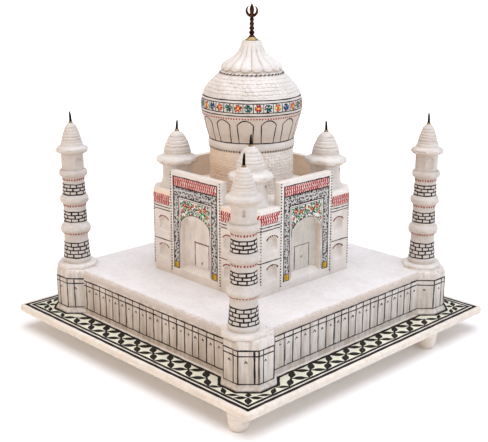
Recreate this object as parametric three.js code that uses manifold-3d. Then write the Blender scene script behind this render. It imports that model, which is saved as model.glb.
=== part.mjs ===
// Marble souvenir of a domed mausoleum on its terrace: four corner minarets, four roof kiosks,
// a portal in each side and a bulbous dome, standing on an inlaid base plate with four small feet.
// Millimetres, +Z up. Origin: centre of the rectangle under the feet, on the surface the model stands on.
// South is -Y, east is +X. Every piece is a separate carved or turned solid; the real ones are cemented together.
import * as THREE from "three";
import { mergeVertices } from "three/addons/utils/BufferGeometryUtils.js";
import Module from "manifold-3d";

const wasm = await Module();
wasm.setup();

// ---------------------------------------------------------------- driving dimensions
const GAP = 0.3; // cement line between pieces that are cut to each other
const PLATE = 254; // side of the square base plate (10 in)
const PLATE_T = 5;
const PLATE_CORNER_R = 4;
const FOOT_H = 13;
const Z0 = FOOT_H + PLATE_T; // top of the base plate

const WALL_FACE = 100; // centre to the outer face of a terrace wall
const WALL_T = 6;
const DECK_T = 5;
const TERRACE_H = 33; // terrace above the plate
const Z_DECK = Z0 + TERRACE_H;
const Z_WALL_TOP = Z_DECK - DECK_T;

const BASTION_C = 92.6; // bastion centre from the middle, along X and Y
const BASTION_A = 16; // octagon, centre to face
const BASTION_FLARE = 1.8; // skirt at the foot of a bastion
const PAD_A = 14.2; // octagonal pad under a minaret, centre to face
const PAD_H = 3;

const BODY_HALF = 56.1; // centre to the face of the main building
const BODY_CHAMFER = 10.1; // corner cut of the main building, along each side
const ROOF_T = 3.5;
const Z_ROOF = Z0 + 95.5;
const PORTAL_HALF = 27; // half width of a portal slab
const PORTAL_T = 6;
const Z_PORTAL = Z0 + 111.5;
const ARCH_HALF = 15.2;
const Z_SILL = Z0 + 39.2; // front edge of the sloping sill
const SILL_RISE = 2.8;
const Z_SPRING = Z0 + 74;
const Z_APEX = Z0 + 82;

const NICHE_C = 36; // wing niche centre from the middle of a side
const NICHE_HALF = 4.8;
const NICHE_D = 1.2;

const KIOSK_C = 38.7; // roof kiosk centre, along X and Y
const SEG = 20; // sides of the small turned pieces
const SEG_DOME = 36;

// where each minaret stands; the four were set by hand, so they are a little off their bastions
const MINARETS = {
  south_east: [90.8, -95.4],
  north_east: [89.4, 94.8],
  south_west: [-94.3, -92.9],
  north_west: [-92.6, 92.6],
};
// the south-east shaft was turned a little shorter than the others
const SHAFT_SCALE = { south_east: 0.972 };
// feet, also set by hand: the south-east and north-east ones sit at different distances from their corners
const FEET = {
  south_east: [110.4, -118.6],
  north_east: [117.5, 67],
  south_west: [-114, -92],
  north_west: [-112, 112],
};

// ---------------------------------------------------------------- materials
const marble = () =>
  new THREE.MeshStandardMaterial({ color: 0xefebe6, roughness: 0.45, metalness: 0 });
const creamMarble = () =>
  new THREE.MeshStandardMaterial({ color: 0xece0cd, roughness: 0.35, metalness: 0 });
const blackMetal = () =>
  new THREE.MeshStandardMaterial({ color: 0x1a1512, roughness: 0.4, metalness: 0.9 });
const bronze = () =>
  new THREE.MeshStandardMaterial({ color: 0x3a1d0c, roughness: 0.35, metalness: 0.9 });
const gilt = () =>
  new THREE.MeshStandardMaterial({ color: 0xc9a75b, roughness: 0.35, metalness: 0.9 });

// ---------------------------------------------------------------- helpers
const model = new THREE.Group();

function bare(geometry) {
  const g = geometry.index ? geometry.toNonIndexed() : geometry.clone();
  const only = new THREE.BufferGeometry();
  only.setAttribute("position", g.getAttribute("position"));
  return mergeVertices(only, 1e-4);
}

// a closed three.js geometry as a manifold solid, faces turned outwards
function solid(geometry) {
  const g = bare(geometry);
  const index = g.index.array;
  const tris = [];
  for (let i = 0; i < index.length; i += 3) {
    const [a, b, c] = [index[i], index[i + 1], index[i + 2]];
    if (a !== b && b !== c && c !== a) tris.push(a, b, c);
  }
  const make = (t) =>
    new wasm.Manifold(
      new wasm.Mesh({
        numProp: 3,
        vertProperties: new Float32Array(g.attributes.position.array),
        triVerts: new Uint32Array(t),
      }),
    );
  const s = make(tris);
  if (s.volume() > 0) return s;
  const flipped = [];
  for (let i = 0; i < tris.length; i += 3) flipped.push(tris[i], tris[i + 2], tris[i + 1]);
  return make(flipped);
}

function geometryOf(s) {
  const m = s.getMesh();
  const v = new Float32Array(m.numVert * 3);
  for (let i = 0; i < m.numVert; i++)
    v.set(m.vertProperties.subarray(i * m.numProp, i * m.numProp + 3), i * 3);
  const g = new THREE.BufferGeometry();
  g.setAttribute("position", new THREE.BufferAttribute(v, 3));
  g.setIndex(new THREE.BufferAttribute(new Uint32Array(m.triVerts), 1));
  const flat = g.toNonIndexed();
  flat.computeVertexNormals();
  return flat;
}

function add(name, s, material) {
  const mesh = new THREE.Mesh(geometryOf(s), material);
  mesh.name = name;
  model.add(mesh);
  return mesh;
}

// turned piece: profile [[radius, z], ...] from the bottom of the axis to its top
function turned(profile, segments = SEG, phi = 0) {
  const g = new THREE.LatheGeometry(
    profile.map(([r, z]) => new THREE.Vector2(r, z)),
    segments,
    phi,
  );
  g.rotateX(Math.PI / 2);
  return g;
}

// the same with a regular cross-section given by the distance from centre to face
function faceted(profile, sides) {
  const k = 1 / Math.cos(Math.PI / sides);
  return turned(
    profile.map(([a, z]) => [a * k, z]),
    sides,
    Math.PI / sides,
  );
}

function polygon(points, z0, z1) {
  const shape = new THREE.Shape(points.map(([x, y]) => new THREE.Vector2(x, y)));
  const g = new THREE.ExtrudeGeometry(shape, { depth: z1 - z0, bevelEnabled: false });
  g.translate(0, 0, z0);
  return g;
}

function box(x0, x1, y0, y1, z0, z1) {
  const g = new THREE.BoxGeometry(x1 - x0, y1 - y0, z1 - z0);
  g.translate((x0 + x1) / 2, (y0 + y1) / 2, (z0 + z1) / 2);
  return g;
}

const moved = (g, x, y, z = 0) => g.clone().translate(x, y, z);
const turnedAboutZ = (g, quarterTurns) => g.clone().rotateZ((quarterTurns * Math.PI) / 2);

const CORNERS = { south_east: [1, -1], north_east: [1, 1], south_west: [-1, -1], north_west: [-1, 1] };
// quarter turns that bring a piece made for the east side to each side
const SIDES = { east: 0, north: 1, west: 2, south: 3 };

// ---------------------------------------------------------------- base plate and feet
{
  const h = PLATE / 2 - 0.7,
    r = PLATE_CORNER_R;
  const s = new THREE.Shape();
  s.moveTo(-h + r, -h);
  s.lineTo(h - r, -h);
  s.absarc(h - r, -h + r, r, -Math.PI / 2, 0, false);
  s.lineTo(h, h - r);
  s.absarc(h - r, h - r, r, 0, Math.PI / 2, false);
  s.lineTo(-h + r, h);
  s.absarc(-h + r, h - r, r, Math.PI / 2, Math.PI, false);
  s.lineTo(-h, -h + r);
  s.absarc(-h + r, -h + r, r, Math.PI, 1.5 * Math.PI, false);
  const g = new THREE.ExtrudeGeometry(s, {
    depth: PLATE_T - 1.4,
    bevelEnabled: true,
    bevelThickness: 0.7,
    bevelSize: 0.7,
    bevelSegments: 2,
    curveSegments: 4,
  });
  g.translate(0, 0, FOOT_H + 0.7);
  add("base_plate", solid(g), creamMarble());
}

for (const [where, [x, y]] of Object.entries(FEET)) {
  const g = faceted([[0, 0], [5.8, 0], [6.7, 1.2], [7.9, FOOT_H], [0, FOOT_H]], 20);
  add("foot_" + where, solid(moved(g, x, y)), creamMarble());
}

// ---------------------------------------------------------------- terrace
const bastionProfile = (d = 0) => [
  [0, Z0 - (d ? 1 : 0)],
  [BASTION_A + BASTION_FLARE + d, Z0 - (d ? 1 : 0)],
  [BASTION_A + BASTION_FLARE + d, Z0 + 1],
  [BASTION_A + d, Z0 + 3.2],
  [BASTION_A + d, Z_DECK - 1.4],
  ...(d ? [[BASTION_A + d, Z_DECK + 1], [0, Z_DECK + 1]] : [[BASTION_A - 1.1, Z_DECK], [0, Z_DECK]]),
];
const bastion = faceted(bastionProfile(), 8);
const bastionRoom = Object.values(CORNERS).map(([sx, sy]) =>
  solid(moved(faceted(bastionProfile(GAP), 8), sx * BASTION_C, sy * BASTION_C)),
);
const without = (s, cuts) => cuts.reduce((a, b) => a.subtract(b), s);

for (const [where, [sx, sy]] of Object.entries(CORNERS))
  add("bastion_" + where, solid(moved(bastion, sx * BASTION_C, sy * BASTION_C)), marble());

for (const [side, q] of Object.entries(SIDES)) {
  const wall = box(WALL_FACE - WALL_T, WALL_FACE, -BASTION_C + 4, BASTION_C - 4, Z0, Z_WALL_TOP);
  add("terrace_wall_" + side, without(solid(turnedAboutZ(wall, q)), bastionRoom), marble());
}

add(
  "terrace_deck",
  without(
    solid(
      faceted(
        [
          [0, Z_WALL_TOP],
          [WALL_FACE, Z_WALL_TOP],
          [WALL_FACE, Z_DECK - 2.2],
          [WALL_FACE - 1.8, Z_DECK],
          [0, Z_DECK],
        ],
        4,
      ),
    ),
    bastionRoom,
  ),
  marble(),
);

// ---------------------------------------------------------------- minarets
const PAD = [[0, 0], [PAD_A, 0], [PAD_A, PAD_H - 1], [PAD_A - 1.1, PAD_H], [0, PAD_H]];
// heights are from the top of the pad; three balcony rings
const SHAFT = [
  [0, 0], [10.2, 0], [10.35, 2.6], [9.75, 4.4], [9.2, 12], [8.75, 22.2],
  [10.0, 23.1], [10.9, 24.2], [11.0, 26.2], [10.8, 28.2], [9.9, 29.3], [8.7, 30.2], [8.3, 42.8],
  [8.35, 45.2], [9.6, 45.9], [10.5, 46.9], [10.6, 48.6], [10.5, 50.3], [9.7, 51.3], [8.5, 52.2], [8.05, 62.8],
  [8.1, 65.6], [9.3, 66.3], [10.3, 67.2], [10.4, 69], [10.2, 70.5], [9.4, 71.2], [0, 71.2],
];
const SHAFT_H = 71.2;
const LANTERN = [
  [0, 0], [8.2, 0], [8.2, 12.2], [10.6, 12.8], [11.5, 13.8], [11.6, 15.6], [11.1, 16.8], [8.8, 17.7],
  [8.3, 18.4], [8.2, 19.8], [7.5, 20.5], [6.3, 25.6], [4.9, 29.6], [3.6, 32.6], [2.4, 34], [1.2, 34.6], [0, 34.6],
];
const LANTERN_H = 34.6;
const spike = (h) => [[0, 0], [1.0, 0], [0.75, h * 0.45], [0.4, h - 0.4], [0, h]];

for (const [where, [x, y]] of Object.entries(MINARETS)) {
  let z = Z_DECK;
  add("minaret_pad_" + where, solid(moved(faceted(PAD, 8), x, y, z)), marble());
  z += PAD_H;
  const k = SHAFT_SCALE[where] ?? 1;
  add("minaret_shaft_" + where, solid(moved(turned(SHAFT.map(([r, h]) => [r, h * k])), x, y, z)), marble());
  z += SHAFT_H * k;
  add("minaret_lantern_" + where, solid(moved(turned(LANTERN), x, y, z)), marble());
  z += LANTERN_H;
  add("minaret_spike_" + where, solid(moved(turned(spike(8.4), 8), x, y, z)), blackMetal());
}

// ---------------------------------------------------------------- main building
const IN = BODY_HALF - PORTAL_T - GAP; // back of the portal slabs
const Z_BODY = Z_ROOF - ROOF_T;
const P = PORTAL_HALF + GAP;

add(
  "building_core",
  solid(
    polygon(
      [
        [IN, -PORTAL_HALF], [IN, PORTAL_HALF], [PORTAL_HALF, PORTAL_HALF], [PORTAL_HALF, IN],
        [-PORTAL_HALF, IN], [-PORTAL_HALF, PORTAL_HALF], [-IN, PORTAL_HALF], [-IN, -PORTAL_HALF],
        [-PORTAL_HALF, -PORTAL_HALF], [-PORTAL_HALF, -IN], [PORTAL_HALF, -IN], [PORTAL_HALF, -PORTAL_HALF],
      ],
      Z_DECK,
      Z_BODY,
    ),
  ),
  marble(),
);

// pointed arch outline in (across, up): a flattened four-centred curve
function arch(half, zBottom, zSpring, zApex, steps = 6) {
  const pts = [[-half, zBottom]];
  const rise = zApex - zSpring;
  for (let i = 0; i <= steps; i++) {
    const t = i / steps;
    pts.push([-half * (1 - t), zSpring + rise * Math.pow(1 - Math.pow(1 - t, 1.9), 0.62)]);
  }
  for (let i = steps - 1; i >= 0; i--) {
    const t = i / steps;
    pts.push([half * (1 - t), zSpring + rise * Math.pow(1 - Math.pow(1 - t, 1.9), 0.62)]);
  }
  pts.push([half, zBottom]);
  return pts;
}

// prism through the east face: the outline stands in the YZ plane between x0 and x1
function throughEast(points, x0, x1) {
  const shape = new THREE.Shape(points.map(([y, z]) => new THREE.Vector2(y, z)));
  const g = new THREE.ExtrudeGeometry(shape, { depth: x1 - x0, bevelEnabled: false });
  // (across, up, out) -> (y, z, x)
  const m = new THREE.Matrix4().set(0, 0, 1, x0, 1, 0, 0, 0, 0, 1, 0, 0, 0, 0, 0, 1);
  g.applyMatrix4(m);
  return g;
}

// portal: a slab with an open pointed arch; the door wall behind it is the face of the core
{
  const x0 = BODY_HALF - PORTAL_T;
  let slab = solid(box(x0, BODY_HALF, -PORTAL_HALF, PORTAL_HALF, Z_DECK, Z_PORTAL));
  slab = slab.subtract(solid(throughEast(arch(ARCH_HALF, Z_SILL + SILL_RISE, Z_SPRING, Z_APEX), x0 - 1, BODY_HALF + 1)));
  // sloping sill
  const sill = new THREE.Shape([
    new THREE.Vector2(x0 - 1, Z_SILL + SILL_RISE + 0.5),
    new THREE.Vector2(BODY_HALF + 1, Z_SILL - 0.5),
    new THREE.Vector2(BODY_HALF + 1, Z_SILL + SILL_RISE + 0.5),
  ]);
  const sg = new THREE.ExtrudeGeometry(sill, { depth: 2 * ARCH_HALF, bevelEnabled: false });
  sg.applyMatrix4(new THREE.Matrix4().set(1, 0, 0, 0, 0, 0, -1, ARCH_HALF, 0, 1, 0, 0, 0, 0, 0, 1));
  slab = slab.subtract(solid(sg));
  const g = geometryOf(slab);
  for (const [side, q] of Object.entries(SIDES))
    add("portal_" + side, solid(turnedAboutZ(g, q)), marble());
}

// wing blocks at the chamfered corners, each with an upper and a lower niche in both its faces
{
  const H = BODY_HALF,
    C = BODY_CHAMFER;
  let block = solid(
    polygon([[P, -P], [P, -H], [H - C, -H], [H, -H + C], [H, -P]], Z_DECK, Z_BODY),
  );
  const niches = [
    arch(NICHE_HALF, Z0 + 65.5, Z0 + 73, Z0 + 76.5, 4),
    arch(NICHE_HALF, Z0 + 42.5, Z0 + 51, Z0 + 54.5, 4),
  ];
  for (const n of niches) {
    const east = throughEast(n, H - NICHE_D, H + 1).translate(0, -NICHE_C, 0);
    block = block.subtract(solid(east));
    const south = throughEast(n, H - NICHE_D, H + 1).rotateZ(-Math.PI / 2).translate(NICHE_C, 0, 0);
    block = block.subtract(solid(south));
  }
  const g = geometryOf(block);
  const turns = { south_east: 0, north_east: 1, north_west: 2, south_west: 3 };
  for (const [where, q] of Object.entries(turns))
    add("wing_block_" + where, solid(turnedAboutZ(g, q)), marble());
}

// roof slab: white cap over the wings, notched for the portals
{
  const H = BODY_HALF,
    C = BODY_CHAMFER,
    N = BODY_HALF - PORTAL_T - GAP;
  const quarter = [[N, -P], [N, P], [H, P], [H, H - C], [H - C, H], [P, H]];
  const turn = ([x, y], q) => {
    for (let i = 0; i < q; i++) [x, y] = [-y, x];
    return [x, y];
  };
  const outline = [0, 1, 2, 3].flatMap((q) => quarter.map((p) => turn(p, q)));
  add("roof_slab", solid(polygon(outline, Z_BODY, Z_ROOF)), marble());
}

// ---------------------------------------------------------------- roof kiosks
const KIOSK = [
  [0, 0], [13.2, 0], [13.0, 1.2], [12.0, 2.6], [11.3, 5], [10.9, 8], [10.9, 17.2], [14.2, 17.8],
  [15.1, 18.8], [15.1, 21.2], [14.2, 22.3], [10.7, 23.7], [10.0, 24.8], [9.7, 27.4], [8.5, 31.6], [6.6, 35.8],
  [4.4, 39.2], [2.6, 40.6], [1.2, 41.2], [0, 41.2],
];
const KIOSK_H = 41.2;
for (const [where, [sx, sy]] of Object.entries(CORNERS)) {
  const x = sx * KIOSK_C,
    y = sy * KIOSK_C;
  add("kiosk_" + where, solid(moved(turned(KIOSK), x, y, Z_ROOF)), marble());
  add("kiosk_spike_" + where, solid(moved(turned(spike(8.0), 8), x, y, Z_ROOF + KIOSK_H)), blackMetal());
}

// ---------------------------------------------------------------- main dome; heights above the plate
const up = (profile) => profile.map(([r, z]) => [r, z + Z0]);
const Z_DRUM = 126,
  Z_COLLAR = 179.5,
  Z_NECK = 202.2;
add("drum", solid(turned(up([[0, 95.5], [30.7, 95.5], [30.7, Z_DRUM], [0, Z_DRUM]]), SEG_DOME)), marble());
add(
  "main_dome",
  solid(
    turned(
      up([
        [0, Z_DRUM], [31.0, Z_DRUM], [31.8, 128.2], [31.8, 130.6], [31.3, 132.6], [32.0, 135.4], [33.2, 139.2],
        [34.4, 144.2], [35.7, 149.2], [36.7, 153.2], [36.9, 157], [36.6, 160], [35.9, 163.8], [34.4, 167.6],
        [32.0, 171.3], [28.7, 175], [25.2, 178], [23.0, Z_COLLAR], [0, Z_COLLAR],
      ]),
      SEG_DOME,
    ),
  ),
  marble(),
);
add(
  "lotus_collar",
  solid(
    turned(
      up([
        [0, Z_COLLAR], [22.0, Z_COLLAR], [20.8, 181.6], [22.1, 183.4], [21.6, 184.8], [19.6, 186.4], [16.4, 188.5],
        [12.0, 191.6], [9.4, 194.8], [8.0, 198.2], [7.2, 201], [6.8, Z_NECK], [0, Z_NECK],
      ]),
      SEG_DOME,
    ),
  ),
  marble(),
);
add("finial_seat", solid(turned(up([[0, Z_NECK], [4.9, Z_NECK], [4.0, 203.3], [2.6, 204.4], [0, 204.4]]), 20)), gilt());

// finial: beaded stem, upright crescent that faces the south-east corner, and a spear in it
{
  const stem = [[0, 204.4], [2.4, 204.4], [2.4, 205], [1.5, 206]];
  for (let i = 0; i < 4; i++) {
    const z = 206 + i * 3.1;
    const r = 2.05 - i * 0.13;
    stem.push([1.3, z + 0.3], [r, z + 1.2], [r, z + 2.0], [1.3, z + 2.9]);
  }
  stem.push([1.3, 219], [1.55, 221.2], [1.5, 222.6], [0.9, 225.4], [0.35, 227.7], [0, 228.1]);
  let finial = solid(turned(up(stem), 12));
  const s = new THREE.Shape();
  const a0 = (58 * Math.PI) / 180,
    a1 = Math.PI - a0;
  s.absarc(0, 0, 4.3, a0, a1, true); // outer edge, round by the bottom
  s.absarc(0, 0.55, 3.0, Math.PI - (64 * Math.PI) / 180, (64 * Math.PI) / 180, false); // inner edge back
  const c = new THREE.ExtrudeGeometry(s, { depth: 1.6, bevelEnabled: false, curveSegments: 9 });
  c.translate(0, 0, -0.8);
  c.rotateX(Math.PI / 2);
  c.rotateZ(Math.PI / 4);
  c.translate(0, 0, Z0 + 222.6);
  finial = finial.add(solid(c));
  add("finial", finial, bronze());
}

export default model;
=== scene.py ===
import math
import random

import bpy
import numpy as np
from mathutils import Matrix, Vector


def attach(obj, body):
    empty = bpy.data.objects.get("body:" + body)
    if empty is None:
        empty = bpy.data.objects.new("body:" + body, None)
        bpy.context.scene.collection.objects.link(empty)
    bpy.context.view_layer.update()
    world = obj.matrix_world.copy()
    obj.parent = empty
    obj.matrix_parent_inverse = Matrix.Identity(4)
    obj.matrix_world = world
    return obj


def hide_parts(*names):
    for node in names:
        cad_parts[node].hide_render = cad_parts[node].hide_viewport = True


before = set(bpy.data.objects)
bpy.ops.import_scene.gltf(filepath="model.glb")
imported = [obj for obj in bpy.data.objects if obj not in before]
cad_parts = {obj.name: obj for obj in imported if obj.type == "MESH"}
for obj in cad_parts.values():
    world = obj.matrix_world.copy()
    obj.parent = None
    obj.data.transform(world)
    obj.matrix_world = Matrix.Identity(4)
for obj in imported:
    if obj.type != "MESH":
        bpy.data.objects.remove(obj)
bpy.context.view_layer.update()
PI = math.pi
Z0 = 18.0  # top of the base plate
Z_DECK = 51.0
F_WALL = 100.0
F_BODY = 56.1


# ------------------------------------------------------------------ noise and outlines
def _hash(i, j, seed):
    n = (i.astype(np.int64) * 374761393 + j.astype(np.int64) * 668265263 + seed * 974634777) & 0xFFFFFFFF
    n = ((n ^ (n >> 13)) * 1274126177) & 0xFFFFFFFF
    n = ((n ^ (n >> 16)) * 2246822519) & 0xFFFFFFFF
    return (n ^ (n >> 15)).astype(np.float64) / 4294967295.0


def vnoise(x, y, seed=1):
    """Smooth value noise in -1..1 on numpy arrays."""
    x, y = np.broadcast_arrays(np.asarray(x, float), np.asarray(y, float))
    i, j = np.floor(x), np.floor(y)
    fx, fy = x - i, y - j
    fx, fy = fx * fx * (3 - 2 * fx), fy * fy * (3 - 2 * fy)
    a, b = _hash(i, j, seed), _hash(i + 1, j, seed)
    c, d = _hash(i, j + 1, seed), _hash(i + 1, j + 1, seed)
    return 2 * ((a * (1 - fx) + b * fx) * (1 - fy) + (c * (1 - fx) + d * fx) * fy) - 1


def fbm(x, y, seed=1, octaves=3):
    total, amp = 0.0, 1.0
    for k in range(octaves):
        total = total + amp * vnoise(np.asarray(x) * 2**k, np.asarray(y) * 2**k, seed + 17 * k)
        amp *= 0.5
    return total


def dense(profile, step, rounds=2):
    """Profile with its corners softened and its points no further apart than step."""
    p = [tuple(map(float, q)) for q in profile]
    for _ in range(rounds):
        q = [p[0]]
        for a, b in zip(p, p[1:]):
            d = math.dist(a, b)
            t = min(0.25, 0.45 / d) if d > 1e-9 else 0.25
            q += [(a[0] + (b[0] - a[0]) * t, a[1] + (b[1] - a[1]) * t), (b[0] + (a[0] - b[0]) * t, b[1] + (a[1] - b[1]) * t)]
        q.append(p[-1])
        p = q
    out = [p[0]]
    for a, b in zip(p, p[1:]):
        n = max(1, int(math.ceil(math.dist(a, b) / step)))
        for k in range(1, n + 1):
            out.append((a[0] + (b[0] - a[0]) * k / n, a[1] + (b[1] - a[1]) * k / n))
    keep = [out[0]]
    for q in out[1:]:
        if math.dist(q, keep[-1]) > 1e-4:
            keep.append(q)
    return keep


def octagon(theta, blunt=1.077):
    """Ratio of an octagon's radius to its apothem at an angle, corners slightly blunted."""
    a = np.mod(theta + PI / 8, PI / 4) - PI / 8
    return np.minimum(1 / np.cos(a), blunt)


# ------------------------------------------------------------------ meshes
class Body:
    def __init__(self):
        self.v, self.f, self.tone, self.n = [], [], [], 0

    def add(self, verts, faces, tone=1.0):
        verts = np.asarray(verts, float).reshape(-1, 3)
        k = self.n
        self.v.append(verts)
        self.n += len(verts)
        self.tone.append(np.full(len(verts), float(tone)))
        self.f.extend(tuple(i + k for i in f) for f in faces)


def make(name, body, material, replaces=(), smooth=None):
    me = bpy.data.meshes.new(name)
    co = np.concatenate(body.v) * 0.001
    me.from_pydata([tuple(p) for p in co.tolist()], [], body.f)
    tone = me.attributes.new("tone", "FLOAT", "POINT")
    tone.data.foreach_set("value", np.concatenate(body.tone).astype(np.float32))
    me.validate()
    me.update()
    if smooth is not None:
        me.polygons.foreach_set("use_smooth", [True] * len(me.polygons))
        me.set_sharp_from_angle(angle=math.radians(smooth))
    ob = bpy.data.objects.new(name, me)
    bpy.context.scene.collection.objects.link(ob)
    me.materials.append(material)
    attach(ob, "root")
    if replaces:
        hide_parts(*replaces)
    return ob


def grid_faces(rows, cols, k=0, wrap=True):
    out = []
    for i in range(rows - 1):
        a, b = k + i * cols, k + (i + 1) * cols
        for j in range(cols if wrap else cols - 1):
            j2 = (j + 1) % cols
            out.append((a + j, a + j2, b + j2, b + j))
    return out


def turned(body, profile, cx=0.0, cy=0.0, n=64, disp=None, phase=0.0, dz=0.0):
    """Closed turned body. disp(theta, z, r) gives (change of radius, change of height) over the grid; z is before dz."""
    p = np.array([q for q in profile if q[0] > 1e-6], float)
    th = np.arange(n) * 2 * PI / n + phase
    T, Z = np.meshgrid(th, p[:, 1])
    R = np.repeat(p[:, :1], n, 1)
    if disp is not None:
        dr, dh = disp(T, Z, R)
        R, Z = R + dr, Z + dh
    V = np.stack([cx + R * np.cos(T), cy + R * np.sin(T), Z + dz], -1).reshape(-1, 3)
    rows = len(p)
    faces = grid_faces(rows, n)
    zb = V[:n, 2].mean()
    zt = V[-n:, 2].mean()
    V = np.concatenate([V, [[cx, cy, zb], [cx, cy, zt]]])
    b, t, last = rows * n, rows * n + 1, (rows - 1) * n
    for j in range(n):
        j2 = (j + 1) % n
        faces.append((b, j2, j))
        faces.append((t, last + j, last + j2))
    body.add(V, faces)


def stacked(body, rings):
    """Closed body through rings of equal length, each an (n, 3) array ordered anticlockwise from above, bottom to top."""
    n = len(rings[0])
    V = np.concatenate(rings)
    faces = grid_faces(len(rings), n)
    c0, c1 = rings[0].mean(0), rings[-1].mean(0)
    b, t, last = len(V), len(V) + 1, (len(rings) - 1) * n
    V = np.concatenate([V, [c0, c1]])
    for j in range(n):
        j2 = (j + 1) % n
        faces.append((b, j2, j))
        faces.append((t, last + j, last + j2))
    body.add(V, faces)


# ------------------------------------------------------------------ surfaces that carry drawn and painted work
def side_map(side, dist):
    """(across, height, lift) on a vertical face of one side; across runs to the right as seen from outside."""
    def south(a, z, h):
        return (a, -dist - h, z)

    def east(a, z, h):
        return (dist + h, a, z)

    def north(a, z, h):
        return (-a, dist + h, z)

    def west(a, z, h):
        return (-dist - h, -a, z)

    return {"south": south, "east": east, "north": north, "west": west}[side]


def plane_map(origin, across, normal):
    o, u, n = map(np.array, (origin, across, normal))

    def m(a, z, h):
        q = o + u * a + n * h
        return (q[0], q[1], z)

    return m


def turned_map(cx, cy, radius):
    """(angle in radians, height, lift) on a turned surface; radius(z) gives its radius."""
    def m(t, z, h):
        r = radius(z) + h
        return (cx + r * math.cos(t), cy + r * math.sin(t), z)

    return m


def top_map(z0):
    def m(x, y, h):
        return (x, y, z0 + h)

    return m


def radius_of(profile, dz=0.0):
    z = np.array([q[1] for q in profile]) + dz
    r = np.array([q[0] for q in profile])
    order = np.argsort(z, kind="stable")
    z, r = z[order], r[order]
    return lambda h: float(np.interp(h, z, r))


LIFT = 0.05  # how far pen lines and paint stand off the stone
SINK = 0.12  # how far their closed bodies go into it


def resample(pts, step, scale=(1.0, 1.0)):
    out = [pts[0]]
    for a, b in zip(pts, pts[1:]):
        d = math.hypot((b[0] - a[0]) * scale[0], (b[1] - a[1]) * scale[1])
        n = max(1, int(math.ceil(d / step)))
        for k in range(1, n + 1):
            out.append((a[0] + (b[0] - a[0]) * k / n, a[1] + (b[1] - a[1]) * k / n))
    return out


def stroke(body, m, pts, w, rng, wob=0.12, tone=None, step=1.4, sx=1.0, lift=LIFT, closed=False, vary=0.16, taper=0.0):
    """A pen line as a thin closed ribbon. sx turns the first coordinate into mm (a radius, where it is an angle)."""
    p = resample(pts, step, (sx, 1.0))
    if closed:
        p = p[:-1]
    n = len(p)
    if n < 2:
        return
    f1, f2, g1 = rng.uniform(0.12, 0.22), rng.uniform(0.4, 0.7), rng.uniform(0.3, 0.6)
    p1, p2, q1 = rng.uniform(0, 6.3), rng.uniform(0, 6.3), rng.uniform(0, 6.3)
    L, d = 0.0, []
    for k in range(n):
        if k:
            L += math.hypot((p[k][0] - p[k - 1][0]) * sx, p[k][1] - p[k - 1][1])
        d.append(L)
    total = L or 1.0
    V = []
    for k in range(n):
        if closed:
            a, b = p[k - 1], p[(k + 1) % n]
            tx, ty = (b[0] - a[0]) * sx, b[1] - a[1]
            if sx > 1 and abs(tx) > PI * sx:
                tx -= math.copysign(2 * PI * sx, tx)
        else:
            a, b = p[max(0, k - 1)], p[min(n - 1, k + 1)]
            tx, ty = (b[0] - a[0]) * sx, b[1] - a[1]
        l = math.hypot(tx, ty) or 1.0
        nx, ny = -ty / l, tx / l
        s = d[k]
        if closed:
            per = total + math.hypot((p[0][0] - p[-1][0]) * sx, p[0][1] - p[-1][1])
            s1 = math.sin(2 * PI * max(1, round(f1 * per / 6.28)) * s / per + p1)
            s2 = math.sin(2 * PI * max(2, round(f2 * per / 6.28)) * s / per + p2)
            off = wob * (0.7 * s1 + 0.35 * s2)
            ww = w * (1 + vary * math.sin(2 * PI * max(2, round(g1 * per / 6.28)) * s / per + q1))
        else:
            off = wob * (0.7 * math.sin(f1 * s + p1) + 0.35 * math.sin(f2 * s + p2))
            ww = w * (1 + vary * math.sin(g1 * s + q1))
        if taper:
            e = min(s, total - s) / taper
            ww *= min(1.0, 0.25 + 0.75 * e)
        h = ww / 2
        for side in (1, -1):
            x = p[k][0] + nx * (off + side * h) / sx
            y = p[k][1] + ny * (off + side * h)
            V.append(m(x, y, lift))
            V.append(m(x, y, -SINK))
    # per station: left top, left bottom, right top, right bottom (left = +normal)
    faces = []
    last = n if closed else n - 1
    for k in range(last):
        a, b = 4 * k, 4 * ((k + 1) % n)
        faces += [(a + 2, b + 2, b, a), (a + 1, b + 1, b + 3, a + 3), (a, b, b + 1, a + 1), (a + 3, b + 3, b + 2, a + 2)]
    if not closed:
        a = 4 * (n - 1)
        faces += [(0, 1, 3, 2), (a + 2, a + 3, a + 1, a)]
    if tone is None:
        tone = rng.uniform(0.75, 1.0)
    body.add(V, faces, tone)


def fill(body, m, pts, lift=LIFT, tone=1.0, sx=1.0):
    """A painted shape: closed thin prism over an outline given anticlockwise (star-shaped about its centre)."""
    n = len(pts)
    cx, cy = sum(p[0] for p in pts) / n, sum(p[1] for p in pts) / n
    V = [m(x, y, lift) for x, y in pts] + [m(x, y, -SINK) for x, y in pts] + [m(cx, cy, lift), m(cx, cy, -SINK)]
    faces = []
    for j in range(n):
        k = (j + 1) % n
        faces += [(2 * n, j, k), (2 * n + 1, n + k, n + j), (j, n + j, n + k, k)]
    body.add(V, faces, tone)


def dot(body, m, x, y, r, rng, sx=1.0, sides=7, tone=None, lift=LIFT + 0.03, aspect=1.0, tilt=0.0):
    ph = rng.uniform(0, 6.3)
    pts = []
    for k in range(sides):
        t = ph + 2 * PI * k / sides
        q = r * rng.uniform(0.88, 1.12)
        u, v = q * math.cos(t) * aspect, q * math.sin(t)
        u, v = u * math.cos(tilt) - v * math.sin(tilt), u * math.sin(tilt) + v * math.cos(tilt)
        pts.append((x + u / sx, y + v))
    fill(body, m, pts, lift, rng.uniform(0.7, 1.0) if tone is None else tone)


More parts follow.
